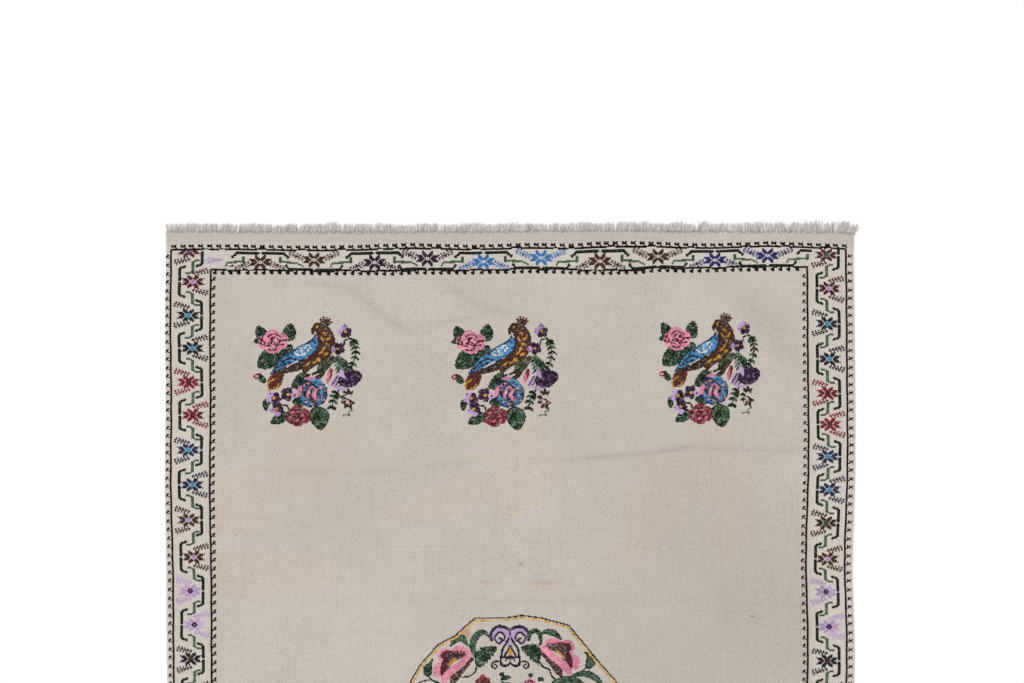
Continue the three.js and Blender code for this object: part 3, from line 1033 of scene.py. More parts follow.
def medallion_spray(chart):
    """The spray in the medallion's upper half: the crest, leaves, stems and two poppies."""
    scroll_crest(chart)
    vine(chart, [(-38, 80), (-37, 68), (-38, 58), (-44, 53), (-52, 52)])
    vine(chart, [(27, 78), (25.5, 69), (30, 62), (36, 59), (39, 52), (46, 47), (54, 47)])
    leaf_arch(chart, [(-63, 83), (-58, 89), (-51.5, 91), (-46, 84)], [1.5, 6, 7, 2.5], 61)
    inner_arch = [(-38.5, 73), (-41, 83), (-37.5, 92.5), (-31, 97), (-26.5, 95), (-23.5, 91)]
    leaf_arch(chart, inner_arch, [3.5, 6.5, 7, 5.5, 3.5, 1.5], 63)
    leaf(chart, (-37, 63), (-16.5, 82), 17, 3.0, seed=65, jags=6)
    leaf_arch(chart, [(-81, 70), (-84, 65), (-86, 60)], [1.5, 4, 9], 67)
    chart.draw("moss", disc, (-86, 58), (4.8, 5.2))
    chart.dapple(disc(chart, (-86, 58), (4.8, 5.2)), "bottle", 0.55, 69)
    vine(chart, [(-86, 54), (-81, 49), (-74, 45)], 1.5)
    vine(chart, [(-97, 43), (-93, 47), (-84, 49), (-76, 47), (-70, 42)], 1.5)
    leaf_arch(chart, [(14, 92), (19, 97), (25, 97), (28, 90), (26.5, 82)], [2, 4.5, 5, 4, 2], 71)
    leaf_arch(chart, [(30, 96), (36, 97), (43, 94.5), (48.5, 89.5)], [2.5, 6, 6, 2], 73)
    leaf(chart, (26, 67.5), (8, 82), 17, -4.0, seed=75, jags=6)
    vine(chart, [(28, 84), (25.5, 72), (25, 63)], 1.6)
    leaf_arch(chart, [(71, 76), (76, 74), (78, 68), (76, 63)], [1.5, 5, 10, 8], 77)
    vine(chart, [(74, 61), (68, 56), (60, 52)], 1.5)
    leaf_arch(chart, [(57, 51), (65, 54), (75, 54), (83, 50), (88, 44), (90, 38)], [2, 5, 7, 6, 4.5, 2], 79)
    leaf_arch(chart, [(40, 46), (50, 49), (62, 48), (70, 44)], [3, 6, 7, 3], 81)
    poppy(chart, (-61, 68.5), 1, 83)
    poppy(chart, (47, 76), -1, 93)


def middle_spray(chart):
    """The upper half of the middle spray: leaves, ferns, two small roses, berries, and two buds on stems."""
    leaf(chart, (-8, 6), (-30, 22), 14, 2.0, seed=101)
    leaf(chart, (8, 6), (28, 24), 14, -2.0, seed=103)
    fern(chart, [(-3, 8), (-6, 22), (-9, 36), (-8, 46)], 7, 4.5)
    fern(chart, [(4, 8), (8, 20), (12, 30), (14, 38)], 6, 4.5)
    vine(chart, [(-10, 8), (-22, 24), (-30, 38)])
    vine(chart, [(12, 6), (26, 20), (28, 44)])
    cabbage_rose(chart, (-30.5, 46), 8.0, "brick", "crimson", "umber", 1.0, 105)
    cabbage_rose(chart, (16.5, 44.5), 6.5, "rose", "blush", "wine", 0.9, 106)
    leaf(chart, (-13, 49.5), (-2, 51.5), 5, 0.5, seed=107)
    berries = (((-11.7, 54.4), (2.5, 2.3)), ((17.4, 53.8), (2.5, 2.2)), ((27.4, 49.4), (3.4, 2.3)))
    for berry, radii in berries:
        chart.draw("bottle", disc, berry, radii)
        chart.draw("moss", disc, berry, (1.0, 0.8))
    bud(chart, (-44, 26), 3.4, "rose", "blush", 150)
    bud(chart, (44, 28), 3.4, "rose", "blush", 40)
    vine(chart, [(-14, 6), (-32, 14), (-43, 24)])
    vine(chart, [(14, 5), (32, 14), (43, 26)])


def medallion():
    """The medallion: the middle spray and the upper one with their half-turned copies, one rose over the
    middle, and the outline."""
    chart = Chart(241, 241)
    middle_spray(chart)
    medallion_spray(chart)
    lower = chart.cells.shape[0] // 2
    chart.cells[:lower] = chart.cells[::-1, ::-1][:lower]
    cabbage_rose(chart, (0, 0), 15.0, "rose", "blush", "wine", 0.9, 111)
    medallion_edge(chart)
    return chart


# RUG

# Each posy's place, across and up the rug's head half in millimetres, and its stretch across.
POSIES = (
    (-593, 1036, 1.0),
    (-23, 1032, 0.985),
    (573, 1039, 0.935),
)
MEDALLION_ACROSS = 8.4


def rug_chart():
    """The whole rug's chart: borders, three posies at the head, the same turned at the foot, and the
    medallion."""
    rug = Chart(int(round(CLOTH_WIDE / STITCH)), int(round(CLOTH_LONG / STITCH)))
    draw_borders(rug)
    for across, up, stretch in POSIES:
        flowers = posy(stretch)
        sew(rug, flowers, (stitches(across), stitches(up)))
        sew(rug, flowers, (stitches(-across), stitches(-up)), turned=True)
    sew(rug, medallion(), (stitches(MEDALLION_ACROSS), 0))
    return rug


# CLOTH

CLOTH_COLUMNS = 174
CLOTH_ROWS = 252
CLOTH_THICK = 0.0022
EDGE_ROUND = 0.004
EDGE_STEPS = np.array([0.0004, 0.0015, 0.004, 0.009])

# The grid's even part ends this far from an edge. Its closer steps are worked out from this many
# samples, and set in over this length.
EDGE_BAND = 0.018
GRADING_SAMPLES = 4000
GRADING_BLEND = 0.02

# Old folds that still show: each is a soft ridge along a line, in metres from the cloth's middle,
# with its height and width in millimetres. It falls off more steeply on its foot side.
CREASES = (
    ((0.13, 0.781), (0.44, 0.806), 1.7, 12),
    ((0.40, 0.804), (0.53, 0.824), 2.0, 12),
    ((0.50, 0.824), (0.86, 0.812), 1.3, 15),
    ((-0.73, 0.759), (-0.40, 0.748), 1.0, 12),
    ((-0.42, 0.748), (-0.08, 0.785), 0.8, 12),
    ((-0.60, 1.311), (-0.42, 1.275), 1.4, 16),
    ((-0.45, 1.275), (-0.38, 1.217), 2.2, 14),
    ((-0.39, 1.217), (-0.28, 1.151), 2.4, 12),
    ((-0.20, 1.304), (-0.09, 1.238), 1.7, 14),
    ((-0.10, 1.238), (0.01, 1.209), 1.7, 12),
    ((-0.22, 1.180), (-0.09, 1.205), 1.2, 12),
    ((0.64, 1.304), (0.83, 1.057), 2.4, 40),
    ((-0.60, 0.382), (0.78, 0.372), 0.7, 14),
    ((-0.68, 0.283), (-0.24, 0.286), 0.5, 10),
    ((-0.85, -0.420), (0.10, -0.400), 0.9, 14),
    ((0.15, -0.785), (0.80, -0.812), 1.6, 13),
    ((-0.70, -0.730), (-0.10, -0.765), 1.1, 13),
    ((0.30, -1.290), (0.48, -1.170), 1.4, 14),
)

# Where the cloth's grid is closer, for the creases' sake: ranges up and across the cloth, in metres,
# and how many times closer.
CREASED_ROWS = ((-1.31, -1.15, 2), (-0.83, -0.71, 3), (-0.44, -0.38, 3), (0.27, 0.30, 2), (0.35, 0.40, 3),
                (0.73, 0.765, 3), (0.765, 0.835, 5), (1.13, 1.31, 3), (1.31, 1.42, 2))
CREASED_COLUMNS = ((-0.62, -0.26, 2), (-0.22, 0.03, 2), (0.38, 0.56, 2))

# Slow swells of the cloth: each one's length across, in metres, its slant, its start, in radians, and
# its height in millimetres.
SWELLS = (
    (0.31, 0.9, 0.4, 0.30),
    (0.47, -0.5, 1.9, 0.25),
    (0.83, 0.3, 4.0, 0.30),
)


def cloth_outline():
    """The CAD cloth's outline as four runs of points: its left and right sides by height, and its
    foot and head edges by place across. Points near an end belong to that end."""
    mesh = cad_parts["cloth"].data
    points = np.empty(len(mesh.vertices) * 3)
    mesh.vertices.foreach_get("co", points)
    points = np.unique(np.round(points.reshape(-1, 3)[:, :2], 6), axis=0)
    points = points - (CLOTH_MIDDLE_X, CLOTH_MIDDLE_Y)
    near_end = np.abs(points[:, 1]) > 0.5 * CLOTH_LONG - 0.02
    head = points[near_end & (points[:, 1] > 0)]
    foot = points[near_end & (points[:, 1] < 0)]
    head = head[np.argsort(head[:, 0])]
    foot = foot[np.argsort(foot[:, 0])]
    sides = points[~near_end]
    left = np.vstack([foot[:1], sides[sides[:, 0] < 0], head[:1]])
    right = np.vstack([foot[-1:], sides[sides[:, 0] > 0], head[-1:]])
    left = left[np.argsort(left[:, 1])]
    right = right[np.argsort(right[:, 1])]
    return left, right, foot, head


LEFT_SIDE, RIGHT_SIDE, FOOT_EDGE, HEAD_EDGE = cloth_outline()


def on_cloth(across, up):
    """A place on the plain rectangle, moved onto the real outline: across runs between the left and
    right sides at its height, and up runs between the foot and head edges at its place across."""
    share = across / CLOTH_WIDE + 0.5
    rise = up / CLOTH_LONG + 0.5
    left = np.interp(up, LEFT_SIDE[:, 1], LEFT_SIDE[:, 0])
    right = np.interp(up, RIGHT_SIDE[:, 1], RIGHT_SIDE[:, 0])
    foot = np.interp(across, FOOT_EDGE[:, 0], FOOT_EDGE[:, 1])
    head = np.interp(across, HEAD_EDGE[:, 0], HEAD_EDGE[:, 1])
    x = left + share * (right - left)
    y = foot + rise * (head - foot)
    return CLOTH_MIDDLE_X + x, CLOTH_MIDDLE_Y + y


def creased(across, up, lower=0.0):
    """The height of all the creases at a place, in millimetres: each is a ridge that falls off as a
    bell curve past its two ends and on both sides of its line, twice as steeply towards the foot as
    towards the head. All can be read a little lower on the cloth."""
    height = np.zeros(np.broadcast(across, up).shape)
    for (x0, y0), (x1, y1), size, wide in CREASES:
        span = np.array([x1 - x0, y1 - y0])
        rise = up + lower - y0
        share = np.clip(((across - x0) * span[0] + rise * span[1]) / (span @ span), 0, 1)
        beside = across - x0 - share * span[0]
        above = rise - share * span[1]
        steepness = np.where(above < 0, 1.5, 0.75) / (0.001 * wide)
        bell = np.exp(-(beside ** 2 + above ** 2) * steepness ** 2)
        height = height + size * bell * (0.35 + 0.65 * np.sin(np.pi * share))
    return height


def lift(across, up):
    """How far the cloth stands off the floor: slow waves of a few tenths of a millimetre, and the creases."""
    height = creased(across, up)
    for long, slant, start, size in SWELLS:
        height = height + size * (0.5 + 0.5 * np.sin((across + slant * up) * 2 * np.pi / long + start))
    return 0.001 * height


def graded_steps(size, count, close_ranges):
    """Steps over a size that are the stated times closer inside the stated ranges, with a few more at
    both ends for the rounded edge. They stand at even shares of the summed closeness."""
    reach = 0.5 * size - EDGE_BAND
    places = np.linspace(-reach, reach, GRADING_SAMPLES)
    close = np.ones(GRADING_SAMPLES)
    for low, high, closeness in close_ranges:
        within = np.clip(np.minimum(places - low, high - places) / GRADING_BLEND + 0.5, 0, 1)
        close = np.maximum(close, 1 + (closeness - 1) * within)
    total = np.cumsum(close)
    middle = np.interp(np.linspace(total[0], total[-1], count), total, places)
    edge = 0.5 * size - np.concatenate([[0.0], EDGE_STEPS])
    return np.concatenate([-edge, middle, edge[::-1]])


GRID_ACROSS = graded_steps(CLOTH_WIDE, CLOTH_COLUMNS, CREASED_COLUMNS)
GRID_UP = graded_steps(CLOTH_LONG, CLOTH_ROWS, CREASED_ROWS)
GRID_LIFT = lift(*np.meshgrid(GRID_ACROSS, GRID_UP))


def top_of_cloth(across, up):
    """The height of the cloth's upper face, read between the four nearest points of its grid."""
    column = np.clip(np.searchsorted(GRID_ACROSS, across) - 1, 0, len(GRID_ACROSS) - 2)
    row = np.clip(np.searchsorted(GRID_UP, up) - 1, 0, len(GRID_UP) - 2)
    right = (across - GRID_ACROSS[column]) / (GRID_ACROSS[column + 1] - GRID_ACROSS[column])
    above = (up - GRID_UP[row]) / (GRID_UP[row + 1] - GRID_UP[row])
    lower = GRID_LIFT[row, column] * (1 - right) + GRID_LIFT[row, column + 1] * right
    upper = GRID_LIFT[row + 1, column] * (1 - right) + GRID_LIFT[row + 1, column + 1] * right
    return CLOTH_THICK + lower * (1 - above) + upper * above


def add_mesh(name, points, faces, material, maps=()):
    """One finished piece from its points and faces, with its named UV maps given by vertex."""
    mesh = bpy.data.meshes.new(name)
    mesh.from_pydata(points.tolist(), [], faces)
    corners = np.empty(len(mesh.loops), dtype=np.int64)
    mesh.loops.foreach_get("vertex_index", corners)
    for map_name, places in maps:
        layer = mesh.uv_layers.new(name=map_name)
        layer.data.foreach_set("uv", places[corners].astype(np.float32).ravel())
    mesh.materials.append(material)
    mesh.update()
    piece = bpy.data.objects.new(name, mesh)
    bpy.context.scene.collection.objects.link(piece)
    return piece


# What the bake's picture shows beyond the rug's length, both ends together, in metres.
PICTURE_MARGIN = 0.08


def flat_map(points):
    """A place on the bake's picture from a place on the rug: the rug's long side fills the picture."""
    return (points[:, :2] - (CLOTH_MIDDLE_X, CLOTH_MIDDLE_Y)) / (CLOTH_LONG + PICTURE_MARGIN) + 0.5


# Tan water stains on the head half: the place and reach of each patch across and up the rug, in
# millimetres, and its turn in degrees.
STAINS = (
    (-596, 853, 90, 41, 0),
    (-560, 836, 90, 20, 0),
    (-574, 781, 90, 36, 0),
    (-567, 762, 113, 20, 0),
    (-603, 722, 90, 41, 8),
    (-720, 759, 30, 12, 0),
    (-778, 660, 76, 90, 0),
    (-802, 628, 64, 62, 0),
    (-684, 457, 172, 58, 0),
    (-800, 459, 76, 60, 0),
    (65, 875, 36, 29, 0),
    (17, 831, 80, 32, 0),
    (22, 788, 105, 23, 4),
    (43, 744, 84, 41, 0),
    (43, 686, 61, 41, -10),
    (14, 642, 29, 27, 0),
    (-87, 798, 32, 8, 0),
    (-146, 679, 99, 44, 18),
    (-255, 632, 65, 23, 10),
    (-335, 625, 29, 7, 8),
    (450, 737, 70, 66, 0),
    (428, 642, 74, 82, -20),
    (370, 541, 32, 56, -25),
    (523, 766, 22, 36, 0),
    (581, 853, 61, 32, 0),
    (610, 737, 84, 88, 0),
    (636, 591, 32, 82, 0),
    (633, 516, 14, 24, 0),
)

# The left border's inner line, where the stains end, and over what length, in metres.
STAIN_EDGE = -0.862
STAIN_EDGE_BLUR = 0.006


def stain_field(across, up):
    """How stained the cloth is at a place: 1 at the middle of a patch, a half at its rim, and less
    outside. A patch is a turned, squarish oval, and patches that overlap join by their greatest
    value. The left border's line stopped them all."""
    field = np.zeros(np.broadcast(across, up).shape)
    for x, y, wide, high, turn in STAINS:
        angle = np.radians(turn)
        dx = 1000 * across - x
        dy = 1000 * up - y
        along = np.abs(dx * np.cos(angle) + dy * np.sin(angle)) / wide
        aside = np.abs(dy * np.cos(angle) - dx * np.sin(angle)) / high
        field = np.maximum(field, 1 - 0.5 * np.cbrt(along ** 3 + aside ** 3))
    return np.clip(field, 0, 1) * np.clip((across - STAIN_EDGE) / STAIN_EDGE_BLUR, 0, 1)


# How much paler or darker the cloth is coloured, as shares of its tone: paler between the border's lines
# and darker in the strips outside the end lines, as the wool has grown, darker low on the right as painted
# shade, and darker as painted shade for each millimetre of crease just above.
BORDER_PALER = 0.26
HEM_DARKER = 0.34
LOW_RIGHT_PAINTED_SHADE = 0.30
CREASE_PAINTED_SHADE = 0.10

# The place and reach of the painted shade low on the right and how far below a crease its painted shade
# is read, in metres, and where the strips start outside their line and over what length a change sets in,
# in millimetres.
LOW_RIGHT_SHADE_PLACE = (0.75, 0.30)
LOW_RIGHT_SHADE_REACH = (0.45, 0.40)
CREASE_SHADE_BELOW = 0.004
HEM_START = 8
FADE_BLUR = 12


def fade_and_shade_field(across, up):
    """How much paler, or darker where negative, the cloth is coloured than in the middle of the field:
    paler between the border's lines and darker in the strips outside the end lines, as the wool has grown,
    and darker as painted shade low on the right and on the foot side of the creases."""
    beyond_side = np.where(across < 0, LEFT_LINES[1] * 0.001 - across, across - RIGHT_LINES[0] * 0.001)
    beyond_end = 1000 * np.abs(up) - END_LINES[1]
    in_border = np.clip(np.maximum(1000 * beyond_side, beyond_end) / FADE_BLUR, 0, 1)
    in_hem = np.clip((1000 * np.abs(up) - END_LINES[0] - HEM_START) / FADE_BLUR, 0, 1)
    right = (across - LOW_RIGHT_SHADE_PLACE[0]) / LOW_RIGHT_SHADE_REACH[0]
    above = (up - LOW_RIGHT_SHADE_PLACE[1]) / LOW_RIGHT_SHADE_REACH[1]
    fade_and_shade = BORDER_PALER * in_border - HEM_DARKER * in_hem
    # Painted shade: darker low on the right, away from the border.
    fade_and_shade = fade_and_shade - LOW_RIGHT_PAINTED_SHADE * np.exp(-right ** 2 - above ** 2) * (1 - in_border)
    # Painted shade: darker on the foot side of every crease, by the crease's height just above.
    return fade_and_shade - CREASE_PAINTED_SHADE * creased(across, up, CREASE_SHADE_BELOW)


def woven_cloth(material):
    """The cloth: a thin closed shell. Its upper face is the outline's grid raised by the cloth's
    thickness and lift, its lower face is the same grid at the lift alone, and the rim joins them.
    Towards an edge the thickness falls off along a quarter round."""
    across, up = np.meshgrid(GRID_ACROSS, GRID_UP)
    x, y = on_cloth(across, up)
    from_edge = np.minimum(0.5 * CLOTH_WIDE - np.abs(across), 0.5 * CLOTH_LONG - np.abs(up))
    inward = np.clip(from_edge / EDGE_ROUND, 0, 1)
    fullness = np.sqrt(1 - (1 - inward) ** 2)
    under = GRID_LIFT + 0.5 * CLOTH_THICK * (1 - fullness)
    over = under + CLOTH_THICK * np.maximum(fullness, 0.1)
    rows, columns = across.shape
    count = rows * columns
    number = np.arange(count).reshape(rows, columns)
    upper = np.stack([number[:-1, :-1], number[:-1, 1:], number[1:, 1:], number[1:, :-1]], axis=-1)
    lower = upper[..., ::-1] + count
    ring = np.concatenate([number[0, :-1], number[:-1, -1], number[-1, :0:-1], number[:0:-1, 0]])
    following = np.roll(ring, -1)
    edge = np.stack([ring + count, following + count, following, ring], axis=-1)
    faces = np.vstack([upper.reshape(-1, 4), lower.reshape(-1, 4), edge])
    points = np.stack([np.tile(x.ravel(), 2), np.tile(y.ravel(), 2),
                       np.concatenate([over.ravel(), under.ravel()])], axis=-1)
    piece = add_mesh("kilim_cloth", points, faces.tolist(), material, [("OFBake", flat_map(points))])
    # Of the two attributes, the first holds the water stains and the second the wool's paling and darkening
    # together with the painted shade low on the right and below the creases.
    for name, field in (("stain", stain_field), ("fade_and_shade", fade_and_shade_field)):
        values = np.tile(field(across, up).ravel(), 2).astype(np.float32)
        piece.data.attributes.new(name, "FLOAT", "POINT").data.foreach_set("value", values)
    piece.data.shade_smooth()
    return piece


# NEEDLEWORK

# How far the head border's two lines were pulled up, or down where negative, in the weaving: the
# place across the rug in metres, then the outer and the inner line's pull in millimetres.
LINE_PULLS = np.array((
    (-1.00, -2.3, -1.0),
    (-0.79, 0.0, -1.2),
    (-0.66, -1.2, 0.6),
    (-0.55, -2.0, -2.2),
    (-0.43, -1.2, -2.2),
    (-0.35, 1.0, -5.0),
    (-0.28, 3.3, -1.0),
    (-0.10, -1.6, -0.9),
    (0.07, 2.4, 0.8),
    (0.17, -1.0, -2.6),
    (0.27, 3.2, -5.2),
    (0.37, 4.4, -3.6),
    (0.43, 5.0, 3.6),
    (0.53, 2.8, 2.8),
    (0.62, 3.8, 6.8),
    (0.75, 8.8, 9.0),
    (0.81, 7.6, 10.0),
    (0.91, 5.2, 9.5),
    (1.00, 4.0, 9.0),
))

# The pulls fade below the inner line over this length. The left edge drifts by up to this much, as a
# sine whose half wave is this long and which is level at this height. The drift starts this far left of
# the middle and sets in over this length. Rows and columns waver by these, slowly and quickly. All are
# in metres.
PULL_FADE = 0.45
LEFT_DRIFT = 0.0043
DRIFT_LONG = 2.6
DRIFT_UP = 0.76
DRIFT_START = 0.87
DRIFT_BLUR = 0.11
ROW_WAVERS = (0.0004, 0.0003)
COLUMN_WAVERS = (0.0005, 0.0004)

# A stitch's corners lie half its diagonal from its middle.
HALF_DIAGONAL = 0.7071

# How single stitches differ: the spread of their places, in metres, and of their turns, in radians, and
# the ranges of their sizes and heights, as shares.
PLACE_SPREAD = 0.00012
TURN_SPREAD = 0.07
SIZE_RANGE = (1.02, 1.14)
RISE_RANGE = (0.75, 1.2)


def end_pull(across, up):
    """How far the head end's weaving was pulled up at a place: by height, between the two lines'
    pulls, and below the inner line less and less."""
    outer = np.interp(across, LINE_PULLS[:, 0], LINE_PULLS[:, 1])
    inner = np.interp(across, LINE_PULLS[:, 0], LINE_PULLS[:, 2])
    above = up - 0.001 * END_LINES[1]
    share = np.clip(1000 * above / (END_LINES[0] - END_LINES[1]), 0, 1.3)
    return 0.001 * (inner + (outer - inner) * share) * np.exp(np.minimum(above, 0) / PULL_FADE)


def wandering(across, up):
    """Where a stitch of the chart really lies: both ends are pulled, the foot half as much and turned
    half round, the left edge's lines drift in a slow wave, and every row and column wavers a little."""
    shift_up = end_pull(across, up) - 0.5 * end_pull(-across, -up)
    shift_up = shift_up + ROW_WAVERS[0] * np.sin(across * 17 + 3 * np.sin(up * 5))
    shift_up = shift_up + ROW_WAVERS[1] * np.sin(across * 61 + up * 9)
    near_left = np.clip((-across - DRIFT_START) / DRIFT_BLUR, 0, 1)
    shift_across = -LEFT_DRIFT * near_left * np.sin(np.pi * (up - DRIFT_UP) / DRIFT_LONG)
    shift_across = shift_across + COLUMN_WAVERS[0] * np.sin(up * 13 + across * 4)
    shift_across = shift_across + COLUMN_WAVERS[1] * np.sin(up * 57 + across * 11)
    return across + shift_across, up + shift_up


def cross_stitches(thread, number, cells, material):
    """All the stitches of one thread as one mesh. A stitch is a low closed pyramid on its cell: four
    corners sunk a little into the cloth and an apex where its two strands cross. Each is a little
    shifted, turned and sized by itself."""
    row, column = np.nonzero(cells == number)
    count = len(row)
    rows, columns = cells.shape
    chance = np.random.default_rng(100 + number)
    across = (column - (columns - 1) / 2) * STITCH + chance.normal(0, PLACE_SPREAD, count)
    up = (row - (rows - 1) / 2) * STITCH + chance.normal(0, PLACE_SPREAD, count)
    turn = np.pi / 4 + chance.normal(0, TURN_SPREAD, count)
    reach = HALF_DIAGONAL * STITCH * chance.uniform(*SIZE_RANGE, count)
    corner = turn[:, None] + np.pi / 2 * np.arange(4)
    across = np.column_stack([across[:, None] + reach[:, None] * np.cos(corner), across])
    up = np.column_stack([up[:, None] + reach[:, None] * np.sin(corner), up])
    place_across, place_up = wandering(across, up)
    x, y = on_cloth(place_across, place_up)
    rise = STITCH_RISE * chance.uniform(*RISE_RANGE, count)
    height = np.column_stack([np.full((count, 4), -STITCH_SUNK), rise])
    z = top_of_cloth(place_across, place_up) + height
    points = np.stack([x, y, z], axis=-1).reshape(-1, 3)
    first = 5 * np.arange(count)[:, None]
    sides = [first + (k, (k + 1) % 4, 4) for k in range(4)]
    base = first + (3, 2, 1, 0)
    faces = np.concatenate(sides).tolist() + base.tolist()
    strands = np.tile([(0.0, 0.0), (1.0, 0.0), (1.0, 1.0), (0.0, 1.0), (0.5, 0.5)], (count, 1))
    maps = [("OFBake", flat_map(points)), ("strands", strands)]
    return add_mesh("stitches_" + thread, points, faces, material, maps)


# FRINGE

# The yarns: their length beyond the edge, their pitch, radius and number of sections, and how far inside
# the edge they start. The tufts: how wide they are, and over what length the corners fan out.
FRINGE_LONG = 0.024
YARN_PITCH = 0.0013
YARN_RADIUS = 0.00105
YARN_SECTIONS = 5
YARN_ROOT_INSIDE = (0.0012, 0.006)
TUFT_WIDTHS = (0.016, 0.052)
CORNER_SPREAD = 0.070

# The spreads of the tufts' leans and lengths and of the yarns' places, leans and bows, how much a tuft's
# yarns close up and its tips are rounded, the ranges of the yarns' lengths and thicknesses, as shares, a
# yarn's thickness at its root, and what it loses to its tip.
TUFT_LEAN = 0.16
TUFT_LENGTH = 0.09
TUFT_CLOSING = 0.04
TIP_ROUNDING = 0.08
ROOT_SPREAD = 0.0004
YARN_LEAN = 0.20
YARN_BOW = 0.0028
YARN_LENGTHS = (0.80, 1.08)
YARN_THICKNESSES = (0.8, 1.15)
YARN_ROOT_THICKNESS = 1.05
YARN_TAPER = 0.45

# Half of the yarns start inside the cloth and half on top of it, and all tips come down to the floor.
ROOT_HEIGHTS = (0.0010, 0.0019)
ROOT_ON_TOP = CLOTH_THICK + 0.0007
TIP_HEIGHTS = (0.0008, 0.0026)

# The yarns are cut longer towards the right corner: places across, in metres, and shares of the length.
LONGER_RIGHT = ((-0.90, 0.50, 0.80), (0.96, 1.0, 1.25))
HEAD_FRINGE = {"name": "fringe_head", "turn": 1, "edge": HEAD_EDGE, "leans": (0.0, 0.75), "seed": 3}
FOOT_FRINGE = {"name": "fringe_foot", "turn": -1, "edge": -FOOT_EDGE[::-1], "leans": (0.1, 0.6), "seed": 11}


def tufts(places, chance):
    """Parts the yarns into tufts of uneven width: for each yarn, its tuft's number and how far it
    stands from its tuft's middle, from -1 to 1."""
    edges = -0.5 * CLOTH_WIDE + np.concatenate([[0], np.cumsum(chance.uniform(*TUFT_WIDTHS, 90))])
    tuft = np.searchsorted(edges, places, side="right") - 1
    aside = 2 * (places - edges[tuft]) / (edges[tuft + 1] - edges[tuft]) - 1
    return tuft, aside


def yarn_fringe(end, material):
    """One end's fringe: four-sided yarns whose middle lines bow sideways as a square of the way to the
    tip. Their lean is their tuft's, plus the fan at the corners. A tuft is rounded at its tips and
    its yarns draw together. The foot's yarns are worked out as a head's and then turned half round."""
    chance = np.random.default_rng(end["seed"])
    count = int(round(CLOTH_WIDE / YARN_PITCH))
    half_wide = 0.5 * CLOTH_WIDE
    root_across = -half_wide + YARN_PITCH * (np.arange(count) + 0.5) + chance.normal(0, ROOT_SPREAD, count)
    root_across = np.clip(root_across, -half_wide + 0.001, half_wide - 0.001)
    tuft, aside = tufts(root_across, chance)
    tuft_lean = chance.normal(0.0, TUFT_LEAN, 100)[tuft]
    tuft_long = chance.normal(1.0, TUFT_LENGTH, 100)[tuft]
    from_left = root_across + half_wide
    from_right = half_wide - root_across
    calm = 1 - np.exp(-np.minimum(from_left, from_right) / CORNER_SPREAD)
    lean = (tuft_lean - TUFT_CLOSING * aside) * calm + chance.normal(0, YARN_LEAN, count)
    left_lean, right_lean = end["leans"]
    lean = lean - left_lean * np.exp(-from_left / CORNER_SPREAD)
    lean = lean + right_lean * np.exp(-from_right / CORNER_SPREAD)
    share = np.interp(root_across, *LONGER_RIGHT)
    rounded = 1 - TIP_ROUNDING * aside ** 4
    long = FRINGE_LONG * share * tuft_long * rounded * chance.uniform(*YARN_LENGTHS, count)
    way = np.linspace(0, 1, YARN_SECTIONS)[:, None]
    bow = chance.normal(0, YARN_BOW, count)
    line_x = root_across + long * lean * way ** 1.3 + bow * 4 * way * (1 - way)
    edge_up = np.interp(root_across, end["edge"][:, 0], end["edge"][:, 1])
    depth = chance.uniform(*YARN_ROOT_INSIDE, count)
    line_y = edge_up - depth + (depth + long) * way
    root = np.where(chance.random(count) < 0.5, chance.uniform(*ROOT_HEIGHTS, count), ROOT_ON_TOP)
    line_z = root + (chance.uniform(*TIP_HEIGHTS, count) - root) * way ** 1.5
    radius = YARN_RADIUS * (YARN_ROOT_THICKNESS - YARN_TAPER * way ** 2)
    radius = radius * chance.uniform(*YARN_THICKNESSES, count)
    around = 0.5 * np.pi * np.arange(4) + chance.uniform(0, 1.5, (count, 1))
    x = line_x[..., None] + radius[..., None] * np.cos(around)
    z = line_z[..., None] + 0.8 * radius[..., None] * np.sin(around)
    y = np.broadcast_to(line_y[..., None], x.shape)
    number = np.arange(x.size).reshape(x.shape)
    nearer = number[:-1]
    farther = number[1:]
    walls = np.stack([nearer, farther, np.roll(farther, -1, axis=2), np.roll(nearer, -1, axis=2)], axis=-1)
    faces = np.vstack([walls.reshape(-1, 4), number[0].reshape(-1, 4), number[-1][:, ::-1].reshape(-1, 4)])
    points = np.stack([CLOTH_MIDDLE_X + end["turn"] * x, CLOTH_MIDDLE_Y + end["turn"] * y, z], axis=-1)
    tone = np.broadcast_to(chance.random((count, 1)), x.shape)
    along = np.broadcast_to(way[..., None], x.shape)
    yarn_map = np.stack([tone.ravel(), along.ravel()], axis=-1)
    points = points.reshape(-1, 3)
    maps = [("OFBake", flat_map(points)), ("yarn", yarn_map)]
    piece = add_mesh(end["name"].replace("fringe", "yarns"), points, faces.tolist(), material, maps)
    piece.data.shade_smooth()
    return piece


# MATERIALS

def linear(hex_colour):
    """A linear colour from an sRGB hex one: each channel is raised as the sRGB curve says."""
    channel = np.array([int(hex_colour[i:i + 2], 16) for i in (0, 2, 4)]) / 255
    value = np.where(channel <= 0.04045, channel / 12.92, ((channel + 0.055) / 1.055) ** 2.4)
    return (*value.tolist(), 1.0)


def new_material(name):
    """A new material and its node tree, emptied."""
    material = bpy.data.materials.new(name)
    material.use_nodes = True
    material.node_tree.nodes.clear()
    return material, material.node_tree


def add_node(tree, kind, values=None, links=None, **settings):
    """Adds a node: its settings by name, its sockets' values, and its sockets' links from other
    nodes' outputs. Where a link's source is a node, its first output is meant."""
    node = tree.nodes.new("ShaderNode" + kind)
    for name, value in settings.items():
        setattr(node, name, value)
    for socket, value in (values or {}).items():
        node.inputs[socket].default_value = value
    for socket, source in (links or {}).items():
        output = source.outputs[0] if isinstance(source, bpy.types.Node) else source
        tree.links.new(output, node.inputs[socket])
    return node


def shade_of(hex_colour, factor):
    """The hex colour made lighter or darker by a factor on its linear value."""
    return (*(min(1.0, factor * channel) for channel in linear(hex_colour)[:3]), 1.0)


